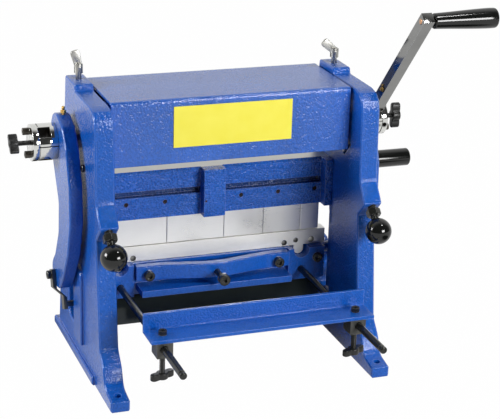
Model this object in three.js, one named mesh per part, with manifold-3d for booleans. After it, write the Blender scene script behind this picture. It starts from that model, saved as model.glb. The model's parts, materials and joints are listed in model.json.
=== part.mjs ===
// A bench-top combined shear, press brake and slip roll for sheet metal, rebuilt piece by piece.
// Millimetres, X to the right, Y away from the operator, Z up, feet on z = 0.
// The front of the upper beam's centre rib is close to y = 0; the last lines centre the whole on the origin.

import * as THREE from "three";
import { mergeVertices } from "three/addons/utils/BufferGeometryUtils.js";
import Module from "manifold-3d";

const wasm = await Module();
wasm.setup();

const machine = new THREE.Group();
machine.name = "combined_sheet_metal_machine";

// Named clearances. Everything that touches in the real machine keeps the fit gap here.
const fit = 0.3;
const runningFit = 0.5;
const overrun = 2;

// Facets around a turned shape, by how large and how visible it is.
const fineFacets = 40;
const facets = 24;
const coarseFacets = 16;
const screwFacets = 12;
const hexFacets = 6;
const cornerSteps = 3;
const degree = Math.PI / 180;

// A closed solid from any three.js geometry.
function solid(geometry) {
  const bare = geometry.index ? geometry.toNonIndexed() : geometry.clone();
  bare.deleteAttribute("normal");
  bare.deleteAttribute("uv");
  const welded = mergeVertices(bare);
  const mesh = new wasm.Mesh({
    numProp: 3,
    vertProperties: new Float32Array(welded.attributes.position.array),
    triVerts: new Uint32Array(welded.index.array),
  });
  return new wasm.Manifold(mesh);
}

function union(pieces) {
  return pieces.reduce((whole, piece) => whole.add(piece));
}

function cut(body, tools) {
  return tools.reduce((left, tool) => left.subtract(tool), body);
}

// A named mesh with a material of its own, from a finished solid.
function place(name, body, look) {
  const mesh = body.getMesh();
  const geometry = new THREE.BufferGeometry();
  geometry.setAttribute("position", new THREE.BufferAttribute(new Float32Array(mesh.vertProperties), 3));
  geometry.setIndex(new THREE.BufferAttribute(new Uint32Array(mesh.triVerts), 1));
  geometry.computeVertexNormals();
  const material = new THREE.MeshStandardMaterial({
    color: look.color,
    roughness: look.roughness,
    metalness: look.metalness,
  });
  const part = new THREE.Mesh(geometry, material);
  part.name = name;
  machine.add(part);
}

const looks = {
  bluePaint: { color: 0x2f56b4, roughness: 0.38, metalness: 0.1 },
  groundSteel: { color: 0xb9bcbe, roughness: 0.32, metalness: 0.9 },
  rollSteel: { color: 0xa9adb0, roughness: 0.25, metalness: 0.95 },
  chrome: { color: 0xcfd3d6, roughness: 0.12, metalness: 1.0 },
  blackOxide: { color: 0x2c2d2c, roughness: 0.45, metalness: 0.6 },
  blackSheet: { color: 0x2b302e, roughness: 0.6, metalness: 0.2 },
  blackPlastic: { color: 0x161616, roughness: 0.25, metalness: 0.0 },
  brass: { color: 0xc29a52, roughness: 0.3, metalness: 0.9 },
  zinc: { color: 0x9a9a92, roughness: 0.4, metalness: 0.8 },
  yellowLabel: { color: 0xf6ea3c, roughness: 0.45, metalness: 0.0 },
};

// A corner list [a, b, radius] turned into an outline with rounded corners.
function rounded(corners) {
  const outline = [];
  corners.forEach(([a, b, radius], i) => {
    const here = new THREE.Vector2(a, b);
    if (!radius) {
      outline.push(here);
      return;
    }
    const before = corners[(i + corners.length - 1) % corners.length];
    const after = corners[(i + 1) % corners.length];
    const toBefore = new THREE.Vector2(before[0], before[1]).sub(here);
    const toAfter = new THREE.Vector2(after[0], after[1]).sub(here);
    const bend = Math.acos(toBefore.dot(toAfter) / (toBefore.length() * toAfter.length()));
    const reach = Math.min(radius / Math.tan(bend / 2), toBefore.length() / 2, toAfter.length() / 2);
    const start = here.clone().addScaledVector(toBefore.normalize(), reach);
    const end = here.clone().addScaledVector(toAfter.normalize(), reach);
    for (let step = 0; step <= cornerSteps; step += 1) {
      const t = step / cornerSteps;
      const first = start.clone().lerp(here, t);
      const second = here.clone().lerp(end, t);
      outline.push(first.lerp(second, t));
    }
  });
  return outline;
}

// The shape axes of a prism: where its outline's first and second values and its length go.
const alongs = {
  x: [new THREE.Vector3(0, 1, 0), new THREE.Vector3(0, 0, 1), new THREE.Vector3(1, 0, 0)],
  y: [new THREE.Vector3(1, 0, 0), new THREE.Vector3(0, 0, 1), new THREE.Vector3(0, -1, 0)],
  z: [new THREE.Vector3(1, 0, 0), new THREE.Vector3(0, 1, 0), new THREE.Vector3(0, 0, 1)],
};

// A prism along one axis between two places, with an optional softened edge.
// Outlines are (y, z) along x, (x, z) along y and (x, y) along z.
function prism(axis, outline, from, to, edge = 0) {
  const low = Math.min(from, to);
  const length = Math.abs(to - from);
  const geometry = new THREE.ExtrudeGeometry(new THREE.Shape(outline), {
    depth: length - 2 * edge,
    steps: 1,
    curveSegments: cornerSteps,
    bevelEnabled: edge > 0,
    bevelThickness: edge,
    bevelSize: edge,
    bevelOffset: -edge,
    bevelSegments: 1,
  });
  geometry.translate(0, 0, edge);
  geometry.applyMatrix4(new THREE.Matrix4().makeBasis(...alongs[axis]));
  const shift = axis === "y" ? low + length : low;
  geometry.translate(axis === "x" ? shift : 0, axis === "y" ? shift : 0, axis === "z" ? shift : 0);
  return solid(geometry);
}

function box(x0, x1, y0, y1, z0, z1) {
  const geometry = new THREE.BoxGeometry(Math.abs(x1 - x0), Math.abs(y1 - y0), Math.abs(z1 - z0));
  geometry.translate((x0 + x1) / 2, (y0 + y1) / 2, (z0 + z1) / 2);
  return solid(geometry);
}

// A shape turned about its own axis, laid from a start point along a direction.
// The profile is a list of [distance along the axis, radius] that starts and ends on the axis.
function turned(start, direction, profile, around = facets) {
  const points = profile.map(([along, radius]) => new THREE.Vector2(radius, along));
  const geometry = new THREE.LatheGeometry(points, around);
  const up = new THREE.Vector3(0, 1, 0);
  const heading = new THREE.Vector3(...direction).normalize();
  geometry.applyQuaternion(new THREE.Quaternion().setFromUnitVectors(up, heading));
  geometry.translate(...start);
  return solid(geometry);
}

// A plain round bar between two distances along a direction.
function rod(start, direction, length, radius, around = facets) {
  return turned(start, direction, [[0, 0], [0, radius], [length, radius], [length, 0]], around);
}

const rightward = [1, 0, 0];
const backward = [0, 1, 0];
const forward = [0, -1, 0];
const upward = [0, 0, 1];
const downward = [0, 0, -1];
const sides = [{ name: "left", sign: -1 }, { name: "right", sign: 1 }];
const outward = (side) => [side.sign, 0, 0];

// Side frames: two castings with a front column, a nose that carries the adjusting screw,
// a throat open to the back and a slot below it in which the bed is guided.
const frameGap = 316;
const frameThickness = 24;
const frameEdge = 1.6;
const toeReach = 173;
const toeHeight = 13.5;
const instepReach = 145;
const instepHeight = 19;
const shinReach = 136;
const shinHeight = 41;
const kneeReach = 120;
const kneeHeight = 58;
const noseOverhang = 4;
const noseRise = 5;
const noseDepth = 20;
const browSetback = 19;
const browRise = 25;
const cheekSetback = 3.5;
const shelfHeight = 353;
const crownRound = 26;
const bossFrontReach = 3;
const bossFootReach = 5;
const bossBack = 44;
const bossHeight = 360.5;
const backFoot = 89;
const backFootHeight = 26;
const heelBack = 104;
const heelHeight = 13;
const archRise = 2;
const archFront = -98;
const archBack = 58;
const smallCorner = 2;
const softCorner = 4;
const bendCorner = 14;
const slotFront = -2;
const slotBack = 37;
const slotFloor = 42;
const lugHeight = 112;
const throatTop = 178;

// The bending roll's axis, and the slanting way on which its adjusting screws push it.
const bendingAxisY = -44;
const bendingAxisZ = 285;
const bendingTravel = 3.5;
const adjustAngle = 45 * degree;
const adjustDirection = [0, Math.cos(adjustAngle), Math.sin(adjustAngle)];
const noseToSlide = 106;

// A point of the bending roll's slide, by its distance up the slide and aside from it.
function onSlide(distance, aside = 0) {
  return [
    bendingAxisY + distance * Math.cos(adjustAngle) - aside * Math.sin(adjustAngle),
    bendingAxisZ + distance * Math.sin(adjustAngle) + aside * Math.cos(adjustAngle),
  ];
}

// The nose stands round the screw's entry, with the waist under it and the brow above it.
const noseEntry = onSlide(-noseToSlide);
const noseReach = noseOverhang - noseEntry[0];
const noseHeight = noseEntry[1] + noseRise;
const waistReach = noseReach - noseDepth;
const waistHeight = noseHeight - noseDepth;
const browReach = noseReach - browSetback;
const browHeight = noseHeight + browRise;
const cheekReach = waistReach - cheekSetback;

const frameInner = frameGap / 2;
const frameOuter = frameInner + frameThickness;
const frameMiddle = (frameInner + frameOuter) / 2;

// The back edge of a frame leans forward from the heel to the boss.
function backEdge(height) {
  const share = (height - backFootHeight) / (bossHeight - backFootHeight);
  return backFoot + (bossBack - backFoot) * share;
}

const frameOutline = rounded([
  [-toeReach, 0, 0],
  [archFront, 0, 0],
  [archFront + archRise, archRise, 0],
  [archBack - archRise, archRise, 0],
  [archBack, 0, 0],
  [heelBack, 0, 0],
  [heelBack, heelHeight, softCorner],
  [backFoot + smallCorner, heelHeight, softCorner],
  [backFoot, backFootHeight, softCorner],
  [backEdge(lugHeight), lugHeight, bendCorner],
  [slotBack, lugHeight, bendCorner],
  [slotBack, slotFloor, bendCorner],
  [slotFront, slotFloor, softCorner],
  [slotFront, throatTop, bendCorner],
  [backEdge(throatTop), throatTop, bendCorner],
  [bossBack, bossHeight, smallCorner],
  [-bossFrontReach, bossHeight, smallCorner],
  [-bossFootReach, shelfHeight, softCorner],
  [-cheekReach, shelfHeight, crownRound],
  [-browReach, browHeight, bendCorner],
  [-noseReach, noseHeight, softCorner],
  [-waistReach, waistHeight, softCorner],
  [-kneeReach, kneeHeight, bendCorner],
  [-shinReach, shinHeight, bendCorner],
  [-instepReach, instepHeight, bendCorner],
  [-toeReach, toeHeight, smallCorner],
]);

// The guide recess in the inner face, the raised strip before the slot and the rail along the foot.
const guideFront = -24;
const guideFloor = 58;
const guideTop = 250;
const guideDepth = 5;
const stripHeight = 4;
const stripFront = -42;
const stripBack = -5;
const stripFloor = 30;
const stripTop = 132;
const railFront = -98;

// Places of the three rolls and of the screws that carry them.
const driveAxisY = 9.5;
const driveAxisZ = 287.4;
const rollRadius = 19;
const rollNip = 1;
const upperRollLean = 15 * degree;
const journalRadius = 11;
const smallJournalRadius = 8;
const bearingFit = 0.5;
const blindBoreDepth = 18;

// Side by side along the drive shaft: frame, its raised strip, crescent arm, hub, crank and knob.
const armSideFit = 1;
const armThickness = 17;
const hubSideFit = 0.4;
const hubLength = 30.6;
const crankSetIn = 15.6;
const shaftSink = 5.6;
const knobStand = 26;
const armInner = frameOuter + stripHeight + armSideFit;
const armOuter = armInner + armThickness;
const hubInner = armOuter + hubSideFit;
const hubOuter = hubInner + hubLength;
const crankPlane = hubInner + crankSetIn;
const shaftEnd = hubInner + shaftSink;
const clampKnobOuter = hubOuter + knobStand;

const rollPitch = 2 * rollRadius + rollNip;
const upperAxisY = driveAxisY + rollPitch * Math.sin(upperRollLean);
const upperAxisZ = driveAxisZ + rollPitch * Math.cos(upperRollLean);
const adjustScrewRadius = 5;
const wingScrewY = 23.5;
const wingScrewRadius = 3.6;
const blockBackReach = 14;
const blockFrontReach = 20;
const blockHalf = 13;
const blockDepth = 15;
const footHoleRadius = 4.5;
const footHoleY = -160;
const sideScrewAlong = -16.3;
const sideScrewAside = -5;
const sideScrewHead = 4;
const sideScrewHeadRadius = 4.6;
const sideScrewSocket = 2.3;
const sideScrewThread = 2.6;
const sideScrewSink = 5;

const [sideScrewY, sideScrewZ] = onSlide(sideScrewAlong, sideScrewAside);

// Two small cast ledges inside each frame, on which the roll cover rests.
const coverFront = -70.8;
const coverBack = 53;
const coverTop = 354;
const coverWall = 3.5;
const ledgeReach = 8;
const ledgeHeight = 6;
const ledgeTop = coverTop - coverWall - fit;
const ledgePlaces = [[-62, -44], [40, 47]];

function slideOutline(back, front, half) {
  const corners = [[back, -half], [back, half], [-front, half], [-front, -half]];
  return corners.map(([distance, aside]) => new THREE.Vector2(...onSlide(distance, aside)));
}

const stripOutline = rounded([
  [stripFront, stripFloor, softCorner],
  [stripBack, stripFloor, softCorner],
  [stripBack, stripTop, softCorner],
  [stripFront, stripTop, bendCorner],
]);

const railOutline = rounded([
  [railFront, archRise, 0],
  [archBack, archRise, 0],
  [heelBack, archRise, 0],
  [heelBack, heelHeight, softCorner],
  [railFront, heelHeight, softCorner],
]);

function sideFrame(side) {
  const at = (distance) => side.sign * distance;
  const plate = prism("x", frameOutline, at(frameInner), at(frameOuter), frameEdge);
  const strip = prism("x", stripOutline, at(frameOuter - overrun), at(frameOuter + stripHeight), frameEdge);
  const rail = prism("x", railOutline, at(frameOuter - overrun), at(frameOuter + stripHeight), frameEdge);
  const bore = (y, z, radius, around, depth = frameThickness + overrun) => rod(
    [at(frameInner - overrun), y, z], outward(side), depth + overrun, radius, around);
  const pocket = slideOutline(blockBackReach + bendingTravel + runningFit,
    blockFrontReach + bendingTravel + runningFit, blockHalf + fit);
  const ledges = ledgePlaces.map(([front, back]) => box(at(frameInner - ledgeReach), at(frameInner + overrun),
    front, back, ledgeTop - ledgeHeight, ledgeTop));
  return cut(union([plate, strip, rail, ...ledges]), [
    box(at(frameInner - overrun), at(frameInner + guideDepth), guideFront, heelBack, guideFloor, guideTop),
    prism("x", pocket, at(frameInner - overrun), at(frameInner + blockDepth + runningFit)),
    bore(driveAxisY, driveAxisZ, journalRadius + bearingFit, facets),
    bore(upperAxisY, upperAxisZ, smallJournalRadius + bearingFit, coarseFacets, blindBoreDepth),
    rod([at(frameMiddle), ...noseEntry], adjustDirection, noseToSlide, adjustScrewRadius + runningFit,
      screwFacets),
    rod([at(frameMiddle), wingScrewY, bossHeight + overrun], downward,
      bossHeight + overrun - upperAxisZ, wingScrewRadius + runningFit, screwFacets),
    rod([at(frameMiddle), footHoleY, -overrun], upward, instepHeight + 2 * overrun, footHoleRadius,
      screwFacets),
    rod([at(frameOuter - sideScrewSink - fit), sideScrewY, sideScrewZ], outward(side),
      sideScrewSink + fit + overrun, sideScrewThread + fit, screwFacets),
  ]);
}

sides.forEach((side) => place(`${side.name}_side_frame`, sideFrame(side), looks.bluePaint));

// A socket screw on each frame's outer face, which locks the bending roll's adjusting screw.
sides.forEach((side) => {
  const at = (distance) => side.sign * distance;
  const headStart = frameOuter + fit;
  place(`side_screw_${side.name}`, cut(union([
    rod([at(frameOuter - sideScrewSink), sideScrewY, sideScrewZ], outward(side),
      sideScrewSink + 2 * fit, sideScrewThread, screwFacets),
    rod([at(headStart), sideScrewY, sideScrewZ], outward(side), sideScrewHead, sideScrewHeadRadius,
      coarseFacets),
  ]), [rod([at(headStart + sideScrewHead / 2), sideScrewY, sideScrewZ], outward(side), sideScrewHead,
    sideScrewSocket, hexFacets)]), looks.blackOxide);
});

// The roll cover: one pressed shell over the rolls, open below, at both ends and low at the back.
const coverHalf = 154.5;
const coverFrontFoot = 272.5;
const coverBackFoot = 322;
const coverRound = 5;

const coverOutline = rounded([
  [coverFront, coverFrontFoot, 0],
  [coverFront + coverWall, coverFrontFoot, 0],
  [coverFront + coverWall, coverTop - coverWall, coverRound - coverWall / 2],
  [coverBack - coverWall, coverTop - coverWall, coverRound - coverWall / 2],
  [coverBack - coverWall, coverBackFoot, 0],
  [coverBack, coverBackFoot, 0],
  [coverBack, coverTop, coverRound],
  [coverFront, coverTop, coverRound],
]);
place("roll_cover", prism("x", coverOutline, -coverHalf, coverHalf), looks.bluePaint);

// A bare yellow plate on the front of the cover.
const labelHalf = 76.5;
const labelFoot = 293;
const labelTop = 344.7;
const labelThickness = 0.8;
place("label_plate", box(-labelHalf, labelHalf, coverFront - fit, coverFront - fit - labelThickness,
  labelFoot, labelTop), looks.yellowLabel);

// The three rolls. The drive roll runs through both frames and carries a hub at each end.
const rollHalf = 155;
const rollShoulder = 1.2;

function rollProfile(journal, journalHalf) {
  const barrelStart = journalHalf - rollHalf;
  const barrelEnd = journalHalf + rollHalf;
  return [
    [0, 0], [0, journal], [barrelStart, journal],
    [barrelStart, rollRadius - rollShoulder], [barrelStart + rollShoulder, rollRadius],
    [barrelEnd - rollShoulder, rollRadius], [barrelEnd, rollRadius - rollShoulder],
    [barrelEnd, journal], [2 * journalHalf, journal], [2 * journalHalf, 0],
  ];
}

const upperJournalHalf = frameInner + blindBoreDepth - bearingFit;
place("drive_roll", turned([-shaftEnd, driveAxisY, driveAxisZ], rightward,
  rollProfile(journalRadius, shaftEnd), fineFacets), looks.rollSteel);
place("upper_roll", turned([-upperJournalHalf, upperAxisY, upperAxisZ], rightward,
  rollProfile(smallJournalRadius, upperJournalHalf), fineFacets), looks.rollSteel);
const bendingJournalHalf = frameInner + blockDepth - overrun;
place("bending_roll", turned([-bendingJournalHalf, bendingAxisY, bendingAxisZ], rightward,
  rollProfile(smallJournalRadius, bendingJournalHalf), fineFacets), looks.rollSteel);

// The bending roll's bearing blocks, the screws that push them, their jam nuts and ball knobs.
const nutFlats = 16;
const nutThickness = 9;
const nutFromNose = 8;
const ballRadius = 16.5;
const ballNeckRadius = 8.5;
const ballDistance = 139;
const screwSink = 4;
const blockSocket = 6;
const hexShare = 2 / Math.sqrt(3);

sides.forEach((side) => {
  const at = (distance) => side.sign * distance;
  const slideBlock = cut(
    prism("x", slideOutline(blockBackReach, blockFrontReach, blockHalf), at(frameInner - fit),
      at(frameInner + blockDepth)),
    [
      rod([at(frameInner - overrun), bendingAxisY, bendingAxisZ], outward(side),
        blockDepth + 2 * overrun, smallJournalRadius + bearingFit, coarseFacets),
      rod([at(frameMiddle), ...onSlide(-blockFrontReach - overrun)], adjustDirection,
        blockSocket + overrun, adjustScrewRadius + fit, screwFacets),
    ]);
  place(`bending_block_${side.name}`, slideBlock, looks.groundSteel);

  const screwTop = -blockFrontReach + blockSocket - fit;
  const screwFoot = -ballDistance + ballRadius - screwSink;
  place(`adjust_screw_${side.name}`, rod([at(frameMiddle), ...onSlide(screwFoot)], adjustDirection,
    screwTop - screwFoot, adjustScrewRadius, screwFacets), looks.blackOxide);

  const nutStart = onSlide(-noseToSlide - nutFromNose - nutThickness / 2);
  place(`jam_nut_${side.name}`, cut(
    rod([at(frameMiddle), ...nutStart], adjustDirection, nutThickness, nutFlats * hexShare / 2, hexFacets),
    [rod([at(frameMiddle), ...onSlide(-noseToSlide - nutFromNose - nutThickness)], adjustDirection,
      2 * nutThickness, adjustScrewRadius + fit, screwFacets)]), looks.blackOxide);

  const ballProfile = [[-ballRadius, 0]];
  const ballSteps = 12;
  for (let step = 1; step < ballSteps; step += 1) {
    const turn = Math.PI * step / ballSteps;
    const along = -ballRadius * Math.cos(turn);
    const radius = ballRadius * Math.sin(turn);
    if (along < 0 || radius > ballNeckRadius) ballProfile.push([along, radius]);
  }
  const flat = Math.sqrt(ballRadius ** 2 - ballNeckRadius ** 2);
  ballProfile.push([flat, ballNeckRadius], [flat, 0]);
  place(`ball_knob_${side.name}`, cut(
    turned([at(frameMiddle), ...onSlide(-ballDistance)], adjustDirection, ballProfile, facets),
    [rod([at(frameMiddle), ...onSlide(screwFoot - fit)], adjustDirection,
      ballRadius, adjustScrewRadius + fit, screwFacets)]), looks.blackPlastic);
});

// The wing screws on the bosses, with a clevis head and a flat wing on a cross pin.
const wingScrewLength = 26;
const clevisFoot = 368;
const clevisHeight = 12;
const clevisRadius = 5.5;
const clevisSlot = 4.6;
const wingThickness = 3.8;
const wingWidth = 12;
const wingLength = 27;
const wingPinRadius = 1.6;
const wingPinRise = 8;
const clevisFloor = 1;
const wingLean = { left: -14 * degree, right: -49 * degree };
const wingTopShare = 0.72;

sides.forEach((side) => {
  const x = side.sign * frameMiddle;
  const pinHeight = clevisFoot + wingPinRise;
  const head = rod([x, wingScrewY, clevisFoot], upward, clevisHeight, clevisRadius, coarseFacets);
  const shank = rod([x, wingScrewY, bossHeight - wingScrewLength], upward,
    clevisFoot - bossHeight + wingScrewLength + fit, wingScrewRadius, screwFacets);
  const slot = box(x - clevisRadius - overrun, x + clevisRadius + overrun,
    wingScrewY - clevisSlot / 2, wingScrewY + clevisSlot / 2,
    clevisFoot + clevisFloor, clevisFoot + clevisHeight + overrun);
  const crossPin = rod([x, wingScrewY - clevisRadius, pinHeight], backward, 2 * clevisRadius,
    wingPinRadius, screwFacets);
  place(`wing_screw_${side.name}`, union([cut(union([head, shank]), [slot]), crossPin]), looks.zinc);

  const half = wingWidth / 2;
  const wingOutline = rounded([
    [-half * wingTopShare, -half * wingTopShare, smallCorner],
    [half * wingTopShare, -half * wingTopShare, smallCorner],
    [half, wingLength - half, softCorner],
    [-half, wingLength - half, softCorner],
  ]);
  const lean = wingLean[side.name];
  const geometryOutline = wingOutline.map((point) => new THREE.Vector2(
    x + point.x * Math.cos(lean) + point.y * Math.sin(lean),
    pinHeight - point.x * Math.sin(lean) + point.y * Math.cos(lean)));
  place(`wing_${side.name}`, cut(
    prism("y", geometryOutline, wingScrewY - wingThickness / 2, wingScrewY + wingThickness / 2),
    [rod([x, wingScrewY - clevisRadius, pinHeight], backward, 2 * clevisRadius,
      wingPinRadius + fit, screwFacets)]), looks.zinc);
});

// The chrome hubs on the drive shaft: a clamp ring with two bolts and a square hole for the crank.
const hubRadius = 23;
const flangeLength = 7;
const grooveRadius = 21.4;
const grooveWidth = 1.4;
const hubBoltCircle = 14.3;
const hubBoltRadius = 4.6;
const hubBoltHead = 8;
const hubBoltSocket = 2.2;
const hubBoltSocketDepth = 3;
const hubBoltCount = 2;
const hubBoltTurn = 65 * degree;
const crankBar = 14;
const crankLean = 41.7 * degree;
const crankReach = 223.5;
const crankTail = 125;
const clampScrewRadius = 3.2;
const clampKnobRadius = { left: 13, right: 16.5 };
const clampKnobLength = 9;
const clampKnobTurn = { left: -50 * degree, right: 90 * degree };
const coreShare = 0.44;
const lobeShares = [[0.74, 0.26], [0.48, 0.24]];

// A square bar in the crank's plane, from a distance below the drive axis to one above it.
function crankSquare(x, from, to, width) {
  const half = width / 2;
  const along = (distance, aside) => new THREE.Vector2(
    driveAxisY - distance * Math.sin(crankLean) + aside * Math.cos(crankLean),
    driveAxisZ + distance * Math.cos(crankLean) + aside * Math.sin(crankLean));
  const outline = [along(from, -half), along(from, half), along(to, half), along(to, -half)];
  return prism("x", outline, x - half, x + half);
}

// A moulded two-lobed knob: a round core with a lobe on either side, drawn in towards the core.
function lobedKnob(start, direction, length, radius, turn) {
  const heading = new THREE.Vector3(...direction).normalize();
  const aside = Math.abs(heading.x) > coreShare ? new THREE.Vector3(0, 1, 0) : new THREE.Vector3(1, 0, 0);
  const other = new THREE.Vector3().crossVectors(heading, aside);
  const lobeLine = aside.multiplyScalar(Math.cos(turn)).addScaledVector(other, Math.sin(turn));
  const lobes = [-1, 1].flatMap((sign) => lobeShares.map(([reach, share]) => {
    const centre = new THREE.Vector3(...start).addScaledVector(lobeLine, sign * radius * reach);
    return rod([centre.x, centre.y, centre.z], direction, length, radius * share, coarseFacets);
  }));
  return union([rod(start, direction, length, radius * coreShare, facets), ...lobes]);
}

sides.forEach((side) => {
  const at = (distance) => side.sign * distance;
  const grooveAt = hubLength - flangeLength;
  const hub = turned([at(hubInner), driveAxisY, driveAxisZ], outward(side), [
    [0, 0], [0, hubRadius], [grooveAt - grooveWidth, hubRadius], [grooveAt - grooveWidth, grooveRadius],
    [grooveAt, grooveRadius], [grooveAt, hubRadius], [hubLength, hubRadius], [hubLength, 0]], fineFacets);
  const heads = [];
  const sockets = [];
  for (let bolt = 0; bolt < hubBoltCount; bolt += 1) {
    const turn = hubBoltTurn + 2 * Math.PI * bolt / hubBoltCount;
    const y = driveAxisY + hubBoltCircle * Math.cos(turn);
    const z = driveAxisZ + hubBoltCircle * Math.sin(turn);
    heads.push(rod([at(hubOuter - fit), y, z], outward(side), hubBoltHead + fit, hubBoltRadius, screwFacets));
    sockets.push(rod([at(hubOuter + hubBoltHead - hubBoltSocketDepth), y, z], outward(side),
      hubBoltSocketDepth + overrun, hubBoltSocket, hexFacets));
  }
  const body = cut(union([hub, ...heads]), [
    ...sockets,
    rod([at(hubInner - overrun), driveAxisY, driveAxisZ], outward(side),
      shaftEnd + fit - hubInner + overrun, journalRadius + fit, facets),
    crankSquare(at(crankPlane), -2 * hubRadius, 2 * hubRadius, crankBar + 2 * fit),
    rod([at(crankPlane), driveAxisY, driveAxisZ], outward(side), hubOuter, clampScrewRadius + fit,
      screwFacets),
  ]);
  place(`hub_${side.name}`, body, looks.chrome);

  const screwStart = crankPlane + crankBar / 2 + 2 * fit;
  const knobInner = clampKnobOuter - clampKnobLength;
  place(`clamp_screw_${side.name}`, union([
    rod([at(screwStart), driveAxisY, driveAxisZ], outward(side), knobInner - screwStart + overrun,
      clampScrewRadius, screwFacets),
    lobedKnob([at(knobInner), driveAxisY, driveAxisZ], outward(side),
      clampKnobLength, clampKnobRadius[side.name], clampKnobTurn[side.name]),
  ]), looks.blackOxide);
});

// The two-ended crank: a square bar through the right hub with a grip on each end.
const gripInset = 8;
const gripPinRadius = 3.5;
const gripCollar = 2.5;
const gripReach = 87;
const gripPinHead = 6;
const gripNeck = 9.5;
const gripSwell = 12.8;
const gripRound = 2;
const gripSwellShare = 0.78;
const tailGripRadius = 11;
const tailGripReach = 89;

function onCrank(distance) {
  return [driveAxisY - distance * Math.sin(crankLean), driveAxisZ + distance * Math.cos(crankLean)];
}

const barFace = crankPlane + crankBar / 2;
const gripCollarStart = barFace + gripCollar;
const gripEnd = barFace + gripReach;
const tailGripEnd = barFace + tailGripReach;
const gripPinCentre = onCrank(crankReach - gripInset);
const tailPinCentre = onCrank(-crankTail + gripInset);
const gripLength = gripEnd - gripCollarStart;
const tailGripStart = barFace + fit;
place("crank_bar", union([
  crankSquare(crankPlane, -crankTail, crankReach, crankBar),
  rod([barFace - fit, ...gripPinCentre], rightward, gripEnd - overrun - barFace, gripPinRadius, screwFacets),
  rod([barFace - fit, ...gripPinCentre], rightward, gripCollarStart - barFace, gripPinHead, coarseFacets),
  rod([barFace - fit, ...tailPinCentre], rightward, tailGripEnd - gripPinHead - barFace, gripPinRadius,
    screwFacets),
]), looks.chrome);

place("crank_grip", cut(
  turned([gripCollarStart + fit, ...gripPinCentre], rightward, [
    [0, 0], [0, gripNeck - gripRound / 2], [gripRound, gripNeck], [gripLength * gripSwellShare, gripSwell],
    [gripLength - 2 * gripRound, gripSwell - gripRound / 2], [gripLength - gripRound / 2, gripNeck],
    [gripLength, gripPinHead], [gripLength, 0]], facets),
  [rod([gripCollarStart, ...gripPinCentre], rightward, gripLength - overrun, gripPinRadius + fit,
    screwFacets)]), looks.blackPlastic);

place("tail_grip", cut(
  turned([tailGripStart, ...tailPinCentre], rightward, [
    [0, 0], [0, tailGripRadius - gripRound / 2], [gripRound / 2, tailGripRadius],
    [tailGripEnd - tailGripStart - gripRound, tailGripRadius],
    [tailGripEnd - tailGripStart, tailGripRadius - gripRound], [tailGripEnd - tailGripStart, 0]], facets),
  [rod([tailGripStart - overrun, ...tailPinCentre], rightward,
    tailGripEnd - gripPinHead - tailGripStart + 2 * overrun, gripPinRadius + fit, screwFacets)]),
looks.blackPlastic);

// The crescent arms outside the frames, which hang the bed from the drive shaft.
// Each outline is given in shares of the arm's height and of its reach forward or back.
const armEdge = 1.6;
const armCrown = 37.6;
const armFootDrop = 15;
const armFrontReach = 65;
const armBackReach = 34;
const armCorner = 18;
const bedTravel = 10;
const armSwingFit = 1.1;
const trunnionY = 18;
const trunnionZ = 107;
const trunnionRadius = 7;
const armFoot = trunnionZ - armFootDrop;
const armHeight = driveAxisZ + armCrown - armFoot;
const armFrontShares = [
  [1, -0.01], [0.961, 0.4], [0.854, 0.71], [0.67, 0.955], [0.472, 0.985], [0.283, 0.77], [0.112, 0.37],
  [0.013, 0.06],
];
const armBackShares = [
  [0, 0.3], [0.047, 0.95], [0.12, 1], [0.193, 0.47], [0.343, -0.09], [0.519, -0.18], [0.687, 0.53],
  [0.79, 0.97], [0.92, 0.9], [0.983, 0.6],
];
const armOutline = rounded([
  ...armFrontShares.map(([up, out]) => [-armFrontReach * out, armFoot + armHeight * up, armCorner]),
  ...armBackShares.map(([up, out]) => [armBackReach * out, armFoot + armHeight * up, armCorner]),
]);

const nippleY = -1;
const nippleRadius = 3.6;
const nippleTipRadius = 1.9;
const nippleHeight = 10;
const nippleNeckShare = 0.45;
const linkThickness = 5;
const linkHalfWidth = 6.5;
const linkRun = 39.2;
const linkLean = -19.4 * degree;
const linkBend = 16;
const linkSetIn = 12;
const linkEyeRadius = 6.5;
const linkPinRadius = 4;
const armBoltRadius = 5.5;
const armBoltHead = 5;
const armBoltSocket = 2.6;
const armBoltThread = 3.4;
const armBoltSink = 6;

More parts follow.
